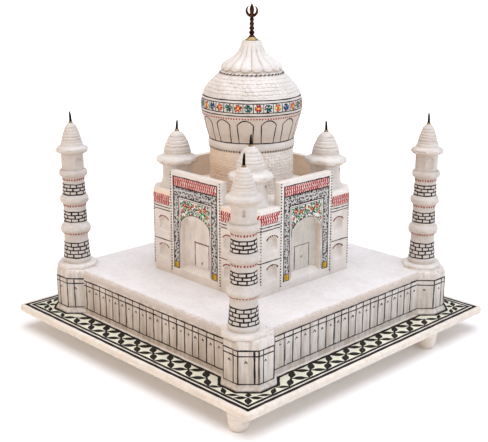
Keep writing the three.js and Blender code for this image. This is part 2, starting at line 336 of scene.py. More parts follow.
# ------------------------------------------------------------------ materials
def nodes_of(name):
    mat = bpy.data.materials.new(name)
    mat.use_nodes = True
    nt = mat.node_tree
    for n in list(nt.nodes):
        nt.nodes.remove(n)
    out = nt.nodes.new("ShaderNodeOutputMaterial")
    bsdf = nt.nodes.new("ShaderNodeBsdfPrincipled")
    nt.links.new(bsdf.outputs["BSDF"], out.inputs["Surface"])
    tc = nt.nodes.new("ShaderNodeTexCoord")
    return mat, nt, bsdf, tc.outputs["Object"]


def noise(nt, coord, scale, detail=3.0, rough=0.5, distortion=0.0, stretch=None):
    if stretch is not None:
        mp = nt.nodes.new("ShaderNodeMapping")
        mp.inputs["Scale"].default_value = stretch
        nt.links.new(coord, mp.inputs["Vector"])
        coord = mp.outputs["Vector"]
    n = nt.nodes.new("ShaderNodeTexNoise")
    n.inputs["Scale"].default_value = scale
    n.inputs["Detail"].default_value = detail
    n.inputs["Roughness"].default_value = rough
    n.inputs["Distortion"].default_value = distortion
    nt.links.new(coord, n.inputs["Vector"])
    return n.outputs["Fac"]


def ramp(nt, fac, stops):
    r = nt.nodes.new("ShaderNodeValToRGB")
    e = r.color_ramp.elements
    while len(e) < len(stops):
        e.new(0.5)
    for el, (pos, col) in zip(e, stops):
        el.position = pos
        el.color = (*col, 1) if len(col) == 3 else col
    nt.links.new(fac, r.inputs["Fac"])
    return r.outputs["Color"]


def mix(nt, fac, a, b, mode="MIX"):
    x = nt.nodes.new("ShaderNodeMix")
    x.data_type = "RGBA"
    x.blend_type = mode
    for sock, val in ((x.inputs[0], fac), (x.inputs[6], a), (x.inputs[7], b)):
        if isinstance(val, (int, float)):
            sock.default_value = val
        elif isinstance(val, tuple):
            sock.default_value = (*val, 1) if len(val) == 3 else val
        else:
            nt.links.new(val, sock)
    return x.outputs[2]


def bump(nt, bsdf, height, strength, distance, normal=None):
    b = nt.nodes.new("ShaderNodeBump")
    b.inputs["Strength"].default_value = strength
    b.inputs["Distance"].default_value = distance
    nt.links.new(height, b.inputs["Height"])
    if normal is not None:
        nt.links.new(normal, b.inputs["Normal"])
    nt.links.new(b.outputs["Normal"], bsdf.inputs["Normal"])
    return b.outputs["Normal"]


def marble(name, light, shade, vein, sss=0.35, rough=0.42, radius=(0.0022, 0.0016, 0.0011), grain=0.12, streak=0.0, court=None, sides=None, below=None, along=(0.25, 0.9, 1.6)):
    """Marble; court paints warm light on the faces that look in at the building's middle, sides paints shade by the way
    a face looks, below paints shade on faces turned down.
    """
    mat, nt, bsdf, obj = nodes_of(name)
    cloud = noise(nt, obj, 55.0, 4.0, 0.55, 0.6)
    c = ramp(nt, cloud, [(0.28, shade), (0.62, light)])
    fine = noise(nt, obj, 420.0, 3.0, 0.6)
    c = mix(nt, 0.16, c, ramp(nt, fine, [(0.3, (0.55, 0.52, 0.48)), (0.62, (1.0, 1.0, 1.0))]), "MULTIPLY")
    v = noise(nt, obj, 34.0, 5.0, 0.6, 1.6)
    band = ramp(nt, v, [(0.470, (0, 0, 0)), (0.497, (1, 1, 1)), (0.524, (0, 0, 0))])
    g = nt.nodes.new("ShaderNodeRGBToBW")
    nt.links.new(band, g.inputs[0])
    k = nt.nodes.new("ShaderNodeMath")
    k.operation = "MULTIPLY"
    k.inputs[1].default_value = 0.16
    nt.links.new(g.outputs[0], k.inputs[0])
    c = mix(nt, k.outputs[0], c, vein)
    if streak:
        s = noise(nt, obj, 240.0, 2.0, 0.5, 0.2, stretch=along)
        c = mix(nt, streak, c, ramp(nt, s, [(0.40, (0.70, 0.62, 0.54)), (0.56, (1.0, 1.0, 1.0))]), "MULTIPLY")
    if court or sides or below:
        tc = nt.nodes.new("ShaderNodeTexCoord")
    if court:
        # painted warm light: the stone is tinted warm where it looks in at the court round the drum and in the arches,
        # in place of light bounced and shone through the marble there
        rad = nt.nodes.new("ShaderNodeVectorMath")
        rad.operation = "MULTIPLY"
        rad.inputs[1].default_value = (1.0, 1.0, 0.0)
        nt.links.new(obj, rad.inputs[0])
        un = nt.nodes.new("ShaderNodeVectorMath")
        un.operation = "NORMALIZE"
        nt.links.new(rad.outputs[0], un.inputs[0])
        dp = nt.nodes.new("ShaderNodeVectorMath")
        dp.operation = "DOT_PRODUCT"
        nt.links.new(un.outputs[0], dp.inputs[0])
        nt.links.new(tc.outputs["Normal"], dp.inputs[1])
        f = nt.nodes.new("ShaderNodeMapRange")
        f.inputs["From Min"].default_value = court[0]
        f.inputs["From Max"].default_value = court[1]
        nt.links.new(dp.outputs["Value"], f.inputs["Value"])
        c = mix(nt, f.outputs["Result"], c, court[2], "MULTIPLY")
    if sides:
        # painted shade: faces turned south and a little west are multiplied by the sides colour, as if they got less
        # light
        dp = nt.nodes.new("ShaderNodeVectorMath")
        dp.operation = "DOT_PRODUCT"
        dp.inputs[1].default_value = (-0.5, -0.86, 0.0)
        nt.links.new(tc.outputs["Normal"], dp.inputs[0])
        f = nt.nodes.new("ShaderNodeMapRange")
        f.inputs["From Min"].default_value = -0.2
        f.inputs["From Max"].default_value = 0.9
        nt.links.new(dp.outputs["Value"], f.inputs["Value"])
        c = mix(nt, f.outputs["Result"], c, sides, "MULTIPLY")
    if below:
        # painted shade: faces turned down (on the deck, faces tilted away from straight up) are multiplied by the
        # darker below colour
        dp = nt.nodes.new("ShaderNodeVectorMath")
        dp.operation = "DOT_PRODUCT"
        dp.inputs[1].default_value = (0.0, 0.0, -1.0)
        nt.links.new(tc.outputs["Normal"], dp.inputs[0])
        f = nt.nodes.new("ShaderNodeMapRange")
        f.inputs["From Min"].default_value = below[1]
        f.inputs["From Max"].default_value = below[2]
        nt.links.new(dp.outputs["Value"], f.inputs["Value"])
        c = mix(nt, f.outputs["Result"], c, below[0], "MULTIPLY")
    nt.links.new(c, bsdf.inputs["Base Color"])
    r = noise(nt, obj, 160.0, 3.0)
    rr = nt.nodes.new("ShaderNodeMapRange")
    rr.inputs["To Min"].default_value = rough - 0.08
    rr.inputs["To Max"].default_value = rough + 0.12
    nt.links.new(r, rr.inputs["Value"])
    nt.links.new(rr.outputs["Result"], bsdf.inputs["Roughness"])
    bsdf.inputs["Subsurface Weight"].default_value = sss
    bsdf.inputs["Subsurface Radius"].default_value = radius
    bsdf.inputs["Subsurface Scale"].default_value = 1.0
    bsdf.inputs["Specular IOR Level"].default_value = 0.42
    bsdf.inputs["IOR"].default_value = 1.49
    n1 = bump(nt, bsdf, noise(nt, obj, 1500.0, 2.0, 0.6), grain, 0.0002)
    bump(nt, bsdf, noise(nt, obj, 260.0, 3.0, 0.5), grain * 0.8, 0.0007, n1)
    return mat


def paint(name, dark, light, rough=0.45, var=0.5, scale=700.0, sss=0.0):
    """Ink or enamel: two tones of one colour mixed by brush noise and by each stroke's own tone."""
    mat, nt, bsdf, obj = nodes_of(name)
    at = nt.nodes.new("ShaderNodeAttribute")
    at.attribute_name = "tone"
    n = noise(nt, obj, scale, 3.0, 0.6)
    k = nt.nodes.new("ShaderNodeMapRange")
    k.inputs["From Min"].default_value = 0.35
    k.inputs["From Max"].default_value = 0.7
    k.inputs["To Max"].default_value = var
    nt.links.new(n, k.inputs["Value"])
    inv = nt.nodes.new("ShaderNodeMath")
    inv.operation = "SUBTRACT"
    inv.inputs[0].default_value = 1.0
    nt.links.new(at.outputs["Fac"], inv.inputs[1])
    s = nt.nodes.new("ShaderNodeMath")
    s.operation = "ADD"
    s.use_clamp = True
    nt.links.new(k.outputs["Result"], s.inputs[0])
    nt.links.new(inv.outputs[0], s.inputs[1])
    nt.links.new(mix(nt, s.outputs[0], dark, light), bsdf.inputs["Base Color"])
    bsdf.inputs["Roughness"].default_value = rough
    bsdf.inputs["Specular IOR Level"].default_value = 0.12
    bump(nt, bsdf, n, 0.15, 0.0002)
    return mat


def metal(name, base, dark, rough, tint=None):
    mat, nt, bsdf, obj = nodes_of(name)
    n = noise(nt, obj, 380.0, 4.0, 0.6)
    nt.links.new(ramp(nt, n, [(0.32, dark), (0.62, base)]), bsdf.inputs["Base Color"])
    rr = nt.nodes.new("ShaderNodeMapRange")
    rr.inputs["To Min"].default_value = rough - 0.1
    rr.inputs["To Max"].default_value = rough + 0.18
    nt.links.new(noise(nt, obj, 900.0, 2.0), rr.inputs["Value"])
    nt.links.new(rr.outputs["Result"], bsdf.inputs["Roughness"])
    bsdf.inputs["Metallic"].default_value = 1.0
    bump(nt, bsdf, noise(nt, obj, 1200.0, 2.0), 0.12, 0.0002)
    return mat


# painted light in the marbles below: sides is painted shade on faces turned south-west, below is painted shade on faces
# turned down, court is painted warm light on faces looking in at the middle
WHITE = dict(light=(0.82, 0.785, 0.75), shade=(0.73, 0.685, 0.64), vein=(0.50, 0.45, 0.41), radius=(0.0012, 0.0008, 0.0005))
# painted shade: SHAFT_WHITE and DOME_WHITE are darker copies of WHITE, for the minarets and lanterns, and for the dome,
# lotus and kiosks
SHAFT_WHITE = dict(light=(0.70, 0.665, 0.635), shade=(0.61, 0.565, 0.525), vein=(0.42, 0.37, 0.33), radius=(0.0010, 0.0007, 0.0005))
DOME_WHITE = dict(light=(0.75, 0.72, 0.69), shade=(0.66, 0.62, 0.585), vein=(0.46, 0.41, 0.37), radius=(0.0010, 0.0007, 0.0005))
white = marble("white_marble_look", sss=0.08, grain=0.20, sides=(1.0, 0.965, 0.92), below=((0.90, 0.84, 0.78), -0.12, 0.30), **WHITE)
shaft_white = marble("minaret_marble_look", sss=0.05, grain=0.20, sides=(1.0, 0.96, 0.91), below=((0.86, 0.78, 0.70), -0.12, 0.30), **SHAFT_WHITE)
dome_white = marble("dome_marble_look", sss=0.05, grain=0.20, sides=(1.0, 0.97, 0.935), below=((0.82, 0.735, 0.65), -0.12, 0.30), **DOME_WHITE)
# terrace walls and bastions: the streaks are chisel marks; the strong sides colour is painted warm shade on the
# south-west faces
wall_white = marble("terrace_wall_look", sss=0.05, grain=0.22, streak=0.55, along=(1.4, 1.4, 0.14), sides=(0.92, 0.86, 0.79), **WHITE)
court_white = marble("court_marble_look", sss=0.08, grain=0.20, court=(0.1, -0.5, (1.0, 0.85, 0.70)), sides=(1.0, 0.965, 0.92), **WHITE)
# painted light in the arch recesses: niche_white is a warmer copy of the marble standing in for warm light bounced in
# the recess, niche_shade a darker copy, painted shade for the door walls on the east and north; their streaks are
# chisel marks
niche_white = marble("niche_marble_look", (0.87, 0.80, 0.745), (0.80, 0.72, 0.65), (0.55, 0.48, 0.42), sss=0.08, radius=(0.0012, 0.0008, 0.0005), grain=0.26, streak=0.25, along=(1.2, 1.2, 0.3))
niche_shade = marble("niche_shade_look", (0.70, 0.665, 0.60), (0.62, 0.58, 0.52), (0.45, 0.41, 0.35), sss=0.08, radius=(0.0012, 0.0008, 0.0005), grain=0.26, streak=0.25, along=(1.2, 1.2, 0.3))
# painted light: drum_white is a brighter copy of the marble, standing in for the glow of the thin translucent drum; its
# sides colour is strong painted warm shade on the south-west
drum_white = marble("drum_marble_look", sss=0.08, grain=0.20, sides=(0.97, 0.81, 0.66), light=(0.90, 0.865, 0.83), shade=(0.84, 0.79, 0.74), vein=(0.56, 0.50, 0.44), radius=(0.0012, 0.0008, 0.0005))
# deck: its below colour, applied to faces tilted away from up, is painted shade on the chipped edge
top_white = marble("deck_marble_look", (0.81, 0.78, 0.765), (0.74, 0.71, 0.69), (0.60, 0.56, 0.54), sss=0.04, rough=0.5,
                   radius=(0.0010, 0.0007, 0.0005), grain=0.16, below=((0.80, 0.72, 0.65), -0.95, -0.55))
cream = marble("cream_marble_look", (0.87, 0.81, 0.74), (0.83, 0.76, 0.68), (0.70, 0.61, 0.52), sss=0.30,
               radius=(0.0034, 0.0022, 0.0014), streak=0.22, rough=0.36, sides=(1.0, 0.98, 0.93))
inlay_light = marble("inlay_light_look", (0.86, 0.84, 0.66), (0.78, 0.75, 0.60), (0.55, 0.52, 0.42), sss=0.15, rough=0.4)
inlay_black = paint("inlay_black_look", (0.012, 0.009, 0.007), (0.040, 0.032, 0.026), rough=0.62, var=0.6, scale=500.0)
ink = paint("ink_look", (0.012, 0.010, 0.010), (0.14, 0.12, 0.11), rough=0.7, var=0.30)
ink_soft = paint("ink_soft_look", (0.060, 0.050, 0.044), (0.30, 0.26, 0.23), rough=0.7, var=0.5)
grey_wash = paint("grey_wash_look", (0.44, 0.43, 0.42), (0.74, 0.71, 0.68), rough=0.6, var=0.9, scale=1300.0)
red = paint("red_look", (0.43, 0.014, 0.012), (0.58, 0.06, 0.045), rough=0.6, var=0.3)
pink_wash = paint("pink_wash_look", (0.80, 0.54, 0.48), (0.86, 0.76, 0.71), rough=0.5, var=0.9, scale=1300.0)
brick_dot = paint("brick_dot_look", (0.26, 0.014, 0.010), (0.40, 0.05, 0.035), rough=0.6, var=0.4)
maroon = paint("maroon_look", (0.16, 0.035, 0.035), (0.38, 0.16, 0.14), rough=0.45, var=0.6)
gold = paint("gold_look", (0.50, 0.27, 0.012), (0.80, 0.52, 0.05), rough=0.25, var=0.8, scale=900.0)
orange = paint("orange_look", (0.62, 0.11, 0.018), (0.74, 0.24, 0.06), rough=0.5, var=0.4)
green = paint("green_look", (0.012, 0.085, 0.040), (0.030, 0.16, 0.065), rough=0.5, var=0.5)
leaf_green = paint("leaf_green_look", (0.10, 0.36, 0.10), (0.22, 0.48, 0.18), rough=0.5, var=0.5)
blue = paint("blue_look", (0.010, 0.040, 0.13), (0.035, 0.12, 0.24), rough=0.5, var=0.5)
yellow = paint("yellow_look", (0.75, 0.50, 0.05), (0.90, 0.75, 0.25), rough=0.35, var=0.7)
black_metal = metal("black_metal_look", (0.016, 0.012, 0.009), (0.006, 0.005, 0.004), 0.45)
bronze = metal("bronze_look", (0.085, 0.028, 0.012), (0.012, 0.006, 0.005), 0.24)
gilt = metal("gilt_look", (0.46, 0.33, 0.16), (0.20, 0.13, 0.06), 0.42)

CORNERS = {"south_east": (1, -1), "north_east": (1, 1), "south_west": (-1, -1), "north_west": (-1, 1)}
SIDES = ("south", "east", "north", "west")


# ------------------------------------------------------------------ base plate and feet
def rounded_square(half, r, side_pts, corner_pts, inset=0.0):
    """Outline anticlockwise, always with the same number of points whatever the inset."""
    h, r = half - inset, max(0.3, r - inset)
    pts = []
    for k, (sx, sy) in enumerate(((1, -1), (1, 1), (-1, 1), (-1, -1))):
        cx, cy = sx * (h - r), sy * (h - r)
        a0 = -PI / 2 + k * PI / 2
        for i in range(corner_pts + 1):
            t = a0 + PI / 2 * i / corner_pts
            pts.append((cx + r * math.cos(t), cy + r * math.sin(t)))
        nx = {0: (1, 1), 1: (-1, 1), 2: (-1, -1), 3: (1, -1)}[k]
        ex, ey = nx[0] * (h - r), nx[1] * (h - r)
        a1 = a0 + PI / 2
        bx, by = ex + r * math.cos(a1), ey + r * math.sin(a1)
        ax, ay = pts[-1]
        for i in range(1, side_pts):
            pts.append((ax + (bx - ax) * i / side_pts, ay + (by - ay) * i / side_pts))
    return np.array(pts)


plate = Body()
rings = []
for inset, z in ((1.4, 13.0), (0.7, 13.15), (0.25, 13.6), (0.05, 14.3), (0.0, 15.2), (0.0, 16.2), (0.12, 17.0), (0.4, 17.6), (0.9, 17.92), (1.6, 18.0)):
    o = rounded_square(127.0, 4.0, 90, 10, inset)
    n = np.hypot(o[:, 0], o[:, 1])
    chip = np.maximum(0, fbm(o[:, 0] / 7, o[:, 1] / 7 + 3, 5) - 0.55) * 1.1 * (z > 16.5) * (inset < 1.3)
    wave = 0.10 * vnoise(o[:, 0] / 14, o[:, 1] / 14, 8)
    k = 1 - (chip + wave + 0.1) / n * (0 if inset > 1.3 and z > 15 else 1)
    rings.append(np.column_stack([o[:, 0] * k, o[:, 1] * k, np.full(len(o), z)]))
for inset in (4.5, 20.0):
    o = rounded_square(127.0, 4.0, 90, 10, 1.6) * ((127 - inset) / 125.4)
    rings.append(np.column_stack([o, np.full(len(o), 18.0)]))
stacked(plate, rings)
make("plate", plate, cream, ["base_plate"], 40)

FEET = {"south_east": (110.4, -118.6), "north_east": (117.5, 67), "south_west": (-114, -92), "north_west": (-112, 112)}


def foot_disp(seed):
    def disp(T, Z, R):
        return 0.20 * vnoise(T * 1.6 + seed, Z / 5, seed) + 0.07 * fbm(T * 6, Z / 1.6, seed + 3) - 0.15, 0 * Z
    return disp


for n, (where, (x, y)) in enumerate(FEET.items()):
    b = Body()
    turned(b, dense([(4.6, 0.0), (5.4, 0.2), (5.9, 0.8), (6.5, 2.6), (7.0, 5.0), (7.4, 8.5), (7.75, 12.9), (7.0, 13.0)], 0.5, 1), x, y, 72, foot_disp(50 + n))
    make("foot_" + where + "_carved", b, cream, ["foot_" + where], 60)

# ------------------------------------------------------------------ terrace
B_C, B_A = 92.6, 16.0


def bastion_disp(cx, cy, a_base, rough):
    def disp(T, Z, R):
        k = octagon(T)
        X, Y = cx + R * k * np.cos(T), cy + R * k * np.sin(T)
        nib = np.exp(-((Z - rough) / 1.1) ** 2)
        s = fbm((X + Y * 0.3) / 1.2, (Y - X * 0.3) / 1.2 + Z / 1.4, 21)
        big = np.maximum(0.0, vnoise(X / 3.1, Y / 3.1 + Z / 3, 24))
        dr = R * (k - 1) - nib * (0.16 + 0.40 * s + 0.7 * big) + 0.025 * vnoise(T * 16, Z / 3, 4)
        return dr, nib * (0.24 * fbm(X / 1.5, Y / 1.5, 22) - 0.3 * big)
    return disp


def bastion_profile():
    return [(17.75, 18.0), (17.8, 18.9), (17.3, 19.5), (16.6, 20.4), (16.1, 21.2), (16.0, 22.2), (16.0, 26), (16.0, 30), (16.0, 34), (16.0, 38),
            (16.0, 42), (16.0, 45.5), (16.0, 47.5), (16.0, 48.6), (15.98, 49.4), (15.75, 50.0), (15.4, 50.5), (14.9, 50.85), (14.4, 51.0), (12.0, 51.0)]


for where, (sx, sy) in CORNERS.items():
    b = Body()
    cx, cy = sx * B_C, sy * B_C
    turned(b, bastion_profile(), cx, cy, 256, bastion_disp(cx, cy, B_A, 50.2))
    make("bastion_" + where + "_carved", b, wall_white, ["bastion_" + where], 34)

for side in SIDES:
    b = Body()
    m = side_map(side, F_WALL)
    # front face in fine columns, so the line between the stone slabs can wander; a foot ledge runs along it
    cols = 96
    a0, a1 = -76.25, 76.25
    prof = [(-6.0, 18.0), (0.0, 18.0), (0.02, 20.0), (0.0, 24.0), (0.0, 32.0), (0.0, 40.0), (0.0, 45.9), (-6.0, 45.9)]
    V, faces = [], []
    for i in range(cols + 1):
        a = a0 + (a1 - a0) * i / cols
        for d, z in prof:
            w = 0.04 * float(vnoise(a / 9.0, z / 9.0, 31)) if d > -1 else 0.0
            V.append(m(a, z, d + w - (0.045 if d > -1 else 0)))
    k = len(prof)
    for i in range(cols):
        for j in range(k):
            j2 = (j + 1) % k
            faces.append((i * k + j, (i + 1) * k + j, (i + 1) * k + j2, i * k + j2))
    faces.append(tuple(range(k - 1, -1, -1)))
    faces.append(tuple(cols * k + j for j in range(k)))
    b.add(V, faces)
    make("wall_" + side, b, wall_white, ["terrace_wall_" + side], 34)


def deck_outline(D, step=0.9):
    """Deck outline at half width D, notched round the bastions, anticlockwise; returns points and how much each is free edge."""
    g = B_A - 1.3
    t = g * math.tan(PI / 8)
    lo, mid = B_C - g, B_C - t  # 76.3, 85.85
    far = B_C + t  # 99.35
    xi = lo + max(0.0, D - far)
    pts, free = [], []
    n_side, n_notch = int(2 * 77 / step), 6
    for q in range(4):
        c, s = math.cos(q * PI / 2), math.sin(q * PI / 2)

        def put(x, y, e):
            pts.append((x * c - y * s, x * s + y * c))
            free.append(e)

        for i in range(n_side + 1):
            x = -xi + 2 * xi * i / n_side
            put(x, -D, min(1.0, min(i, n_side - i) / 3.0))
        for (x0, y0), (x1, y1) in zip(((xi, -D), (lo, -min(D, far) + 0.01), (lo, -mid), (mid, -lo), (min(D, far) - 0.01, -lo)),
                                      ((lo, -min(D, far) + 0.01), (lo, -mid), (mid, -lo), (min(D, far) - 0.01, -lo), (D, -xi))):
            for i in range(1, n_notch + 1):
                if (x1, y1) == (D, -xi) and i == n_notch:
                    continue
                put(x0 + (x1 - x0) * i / n_notch, y0 + (y1 - y0) * i / n_notch, 0.0)
    return np.array(pts), np.array(free)


deck = Body()
rings = []
for D, z, nib in ((99.9, 46.0, 0.0), (100.0, 46.3, 0.2), (100.0, 47.4, 0.3), (99.95, 48.3, 0.7), (99.7, 49.0, 1.0), (99.35, 49.6, 1.0), (98.9, 50.15, 1.0), (98.4, 50.6, 1.0), (97.8, 50.88, 0.8), (97.0, 50.98, 0.4), (96.0, 51.0, 0.0)):
    o, free = deck_outline(D, 0.5)
    along = np.where(np.abs(o[:, 0]) > np.abs(o[:, 1]), o[:, 1], o[:, 0])
    face = np.where(np.abs(o[:, 0]) > np.abs(o[:, 1]), np.sign(o[:, 0]), 2 * np.sign(o[:, 1]))
    # bites of the chisel along the edge, roughly evenly spaced, over a rougher break
    ph = along / 2.5 + 0.35 * vnoise(along / 6, face * 9.7, 42)
    bite = np.maximum(0.0, np.sin(PI * (ph - np.floor(ph)))) ** 0.9
    amp = 0.45 + 0.55 * np.abs(vnoise(np.floor(ph) * 1.7, face * 3.3, 43))
    s = fbm(o[:, 0] / 1.3, o[:, 1] / 1.3 + z / 1.2, 41, 3)
    cut = free * nib * (1.05 * bite * amp + 0.15 + 0.34 * s)
    inward = np.where(np.abs(o[:, 0])[:, None] > np.abs(o[:, 1])[:, None], np.column_stack([np.sign(o[:, 0]), o[:, 1] * 0]), np.column_stack([o[:, 0] * 0, np.sign(o[:, 1])]))
    o = o - inward * cut[:, None]
    rings.append(np.column_stack([o, np.full(len(o), z) + free * nib * (0.22 * s - 0.42 * bite * amp * (z > 49.5))]))
rings.append(rings[-1] * np.array([0.97, 0.97, 1.0]))
stacked(deck, rings)
make("terrace_deck_carved", deck, top_white, ["terrace_deck"], 26)

# ------------------------------------------------------------------ minarets
MINARETS = {"south_east": (90.8, -95.4), "north_east": (89.4, 94.8), "south_west": (-94.3, -92.9), "north_west": (-92.6, 92.6)}
Z_SHAFT = 54.0
SHAFT = [(0, 0), (10.2, 0), (10.35, 2.6), (9.75, 4.4), (9.2, 12), (8.75, 22.2), (10.0, 23.1), (10.9, 24.2), (11.0, 26.2), (10.8, 28.2), (9.9, 29.3), (8.7, 30.2),
         (8.3, 42.8), (8.35, 45.2), (9.6, 45.9), (10.5, 46.9), (10.6, 48.6), (10.5, 50.3), (9.7, 51.3), (8.5, 52.2), (8.05, 62.8),
         (8.1, 65.6), (9.3, 66.3), (10.3, 67.2), (10.4, 69), (10.2, 70.5), (9.4, 71.2), (0, 71.2)]
LANTERN = [(0, 0), (8.2, 0), (8.2, 12.2), (10.6, 12.8), (11.5, 13.8), (11.6, 15.6), (11.1, 16.8), (8.8, 17.7), (8.3, 18.4), (8.2, 19.8), (7.5, 20.5), (6.3, 25.6),
           (4.9, 29.6), (3.6, 32.6), (2.4, 34), (1.2, 34.6), (0, 34.6)]
LANTERN_H = 34.6
SHAFT_SCALE = {"south_east": 0.972}


def scaled(profile, k):
    return [(r, z * k) for r, z in profile]


shaft_profile = dense([q for q in SHAFT if q[0] > 0], 0.55, 2)
lantern_profile = dense([q for q in LANTERN if q[0] > 0], 0.34, 2)


def bumpy(v, c, w):
    return np.exp(-(((v - c) / w) ** 2))


def shaft_disp(seed):
    def disp(T, Z, R):
        rings = bumpy(Z, 26.2, 2.6) + bumpy(Z, 48.6, 2.6) + bumpy(Z, 69.0, 2.4) + bumpy(Z, 0.0, 3.0)
        d = (0.012 + 0.08 * rings) * fbm(T * 5 + seed, Z / 3.2, seed)
        d = d + rings * 0.07 * fbm(T * 15, Z / 0.8, seed + 5)
        for c in (26.2, 48.6, 69.0):  # the balcony rings were cut by hand, each a little uneven
            d = d + bumpy(Z, c, 1.8) * 0.20 * vnoise(T * 3.2 + c, Z / 2, seed + 9)
        return d, 0 * Z
    return disp


def niche_cut(T, Z, R, count, half, z0, z_top, depth, phase=0.0):
    """Arched recesses round a turned wall."""
    p = 2 * PI / count
    a = (np.mod(T - phase + p / 2, p) - p / 2) * R
    u = np.abs(a) / half
    top = z_top - (u**2) * half * 0.9
    inside = np.clip((1 - u) * 3.0, 0, 1) * np.clip((Z - z0) / 0.5, 0, 1) * np.clip((top - Z) / 0.5, 0, 1)
    return -depth * inside


def lantern_disp(seed, phase, half, z0, z1, depth):
    def disp(T, Z, R):
        body = np.clip((12.0 - Z) / 0.4, 0, 1)
        d = body * (R * (octagon(T - phase, 1.045) * 0.975 - 1)) * 0.6
        d = d + body * niche_cut(T, Z, R, 4, half, z0, z1, depth, phase)
        eave = np.clip((Z - 12.2) / 0.5, 0, 1) * np.clip((17.4 - Z) / 0.5, 0, 1)
        d = d + eave * (R * (octagon(T - phase, 1.055) * 0.97 - 1))
        cone = np.clip((Z - 20.4) / 0.5, 0, 1)
        # turned grooves of the cap, cut square below and rounded above
        f = np.mod((Z - 20.4) / 2.15, 1.0)
        d = d + cone * (0.40 * np.minimum(f / 0.62, 1.0) - 0.62 * np.clip((f - 0.66) / 0.12, 0, 1) * np.clip((1.0 - f) / 0.08, 0, 1)) * np.clip((34.4 - Z) / 1.5, 0, 1)
        d = d + 0.045 * fbm(T * 5 + seed, Z / 2.4, seed + 2) + eave * (0.20 * vnoise(T * 5, Z, seed) + 0.10 * fbm(T * 14, Z / 0.8, seed + 4))
        return d, 0 * Z
    return disp


def spike(body, cx, cy, z, h, lean=0.0):
    prof = dense([(1.15, 0), (1.2, 0.5), (1.0, 0.9), (1.05, 1.4), (0.95, 2.1), (0.92, h * 0.45), (0.78, h * 0.70), (0.62, h - 1.0), (0.42, h - 0.15), (0.05, h)], 0.25, 1)
    k = body.n
    turned(body, prof, cx, cy, 20, None, 0.0, z)
    if lean:
        v = body.v[-1]
        t = (v[:, 2] - z) / h
        v[:, 0] += lean * t**2
        v[:, 1] += lean * 0.4 * t**2


# recess facing, half width, foot, head and depth of the openings cut in each lantern
LANTERN_CUT = {"south_east": (-44, 1.15, 5.2, 9.4, 1.5), "north_east": (-35, 3.0, 1.4, 11.2, 1.0), "south_west": (0, 2.9, 1.2, 9.0, 1.0), "north_west": (-20, 2.9, 1.2, 10.0, 1.0)}
shaft_radius, lantern_base = {}, {}
for n, (where, (x, y)) in enumerate(MINARETS.items()):
    b = Body()
    pad = dense([(14.2, 0), (14.2, 1.9), (13.3, 2.9), (12.8, 3.0), (9.0, 3.0)], 0.45, 1)

    def pad_disp(T, Z, R, x=x, y=y):
        k = octagon(T, 1.08)
        nib = np.clip((Z - 1.3) / 0.8, 0, 1) * np.clip((R - 11.5) / 1.0, 0, 1)
        return R * (k - 1) * np.clip((R - 9) / 3.0, 0, 1) - nib * (0.05 + 0.35 * fbm(T * 9 + x, Z + y, 61)), 0 * Z

    turned(b, pad, x, y, 144, pad_disp, 0.0, Z_DECK)
    make("pad_" + where, b, white, ["minaret_pad_" + where], 34)
    k = SHAFT_SCALE.get(where, 1.0)
    prof = scaled(shaft_profile, k)
    shaft_radius[where] = (radius_of(prof, Z_SHAFT), k)
    b = Body()
    turned(b, prof, x, y, 128, shaft_disp(70 + n), 0.0, Z_SHAFT)
    make("shaft_" + where, b, shaft_white, ["minaret_shaft_" + where], 40)
    zl = Z_SHAFT + 71.2 * k
    lantern_base[where] = zl
    b = Body()
    face, half, n0, n1, dep = LANTERN_CUT[where]
    turned(b, lantern_profile, x, y, 160, lantern_disp(80 + n, math.radians(face), half, n0, n1, dep), 0.0, zl)
    make("lantern_" + where, b, shaft_white, ["minaret_lantern_" + where], 40)
    b = Body()
    spike(b, x, y, zl + LANTERN_H - 0.02, 8.4, (0.35, -0.2, -0.5, 0.2)[n])
    make("spike_" + where, b, black_metal, ["minaret_spike_" + where], 50)
    b = Body()
    turned(b, dense([(1.5, -0.5), (1.7, 0.0), (1.45, 0.6), (1.2, 0.9)], 0.2), x, y, 24, None, 0.0, zl + LANTERN_H)
    make("spike_seat_" + where, b, gilt, (), 50)

# ------------------------------------------------------------------ main building
H, CH = F_BODY, 10.1
Z_BODY, Z_ROOF, Z_PORTAL = 110.0, 113.5, 129.5
ARCH_HALF, Z_SILL, Z_SPRING, Z_APEX = 15.2, 57.2, 92.0, 100.0


def arch_height(u, spring, apex):
    """Height of the pointed arch at u = across / half, |u| <= 1."""
    t = 1 - np.abs(u)
    return spring + (apex - spring) * np.power(np.maximum(0.0, 1 - np.power(np.clip(1 - t, 0, 1), 1.9)), 0.62)


def softened(name, node, width, material=None):
    """A CAD solid with its edges eased, as hand-rubbed stone has."""
    import bmesh

    bm = bmesh.new()
    bm.from_mesh(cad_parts[node].data)
    bmesh.ops.remove_doubles(bm, verts=bm.verts, dist=1e-5)
    bmesh.ops.dissolve_limit(bm, angle_limit=math.radians(1.0), verts=bm.verts, edges=bm.edges)
    sharp = [e for e in bm.edges if len(e.link_faces) == 2 and e.calc_face_angle() > math.radians(20)]
    bmesh.ops.bevel(bm, geom=sharp, offset=width * 0.001, segments=2, profile=0.6, affect="EDGES", clamp_overlap=True)
    bmesh.ops.triangulate(bm, faces=[f for f in bm.faces if len(f.verts) > 4])
    me = bpy.data.meshes.new(name)
    bm.to_mesh(me)
    bm.free()
    me.polygons.foreach_set("use_smooth", [True] * len(me.polygons))
    me.set_sharp_from_angle(angle=math.radians(34))
    ob = bpy.data.objects.new(name, me)
    bpy.context.scene.collection.objects.link(ob)
    me.materials.clear()
    me.materials.append(material or white)
    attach(ob, "root")
    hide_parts(node)
    return ob


softened("core_block", "building_core", 0.3, material=court_white)
for side in SIDES:
    softened("portal_slab_" + side, "portal_" + side, 0.35, material=court_white)

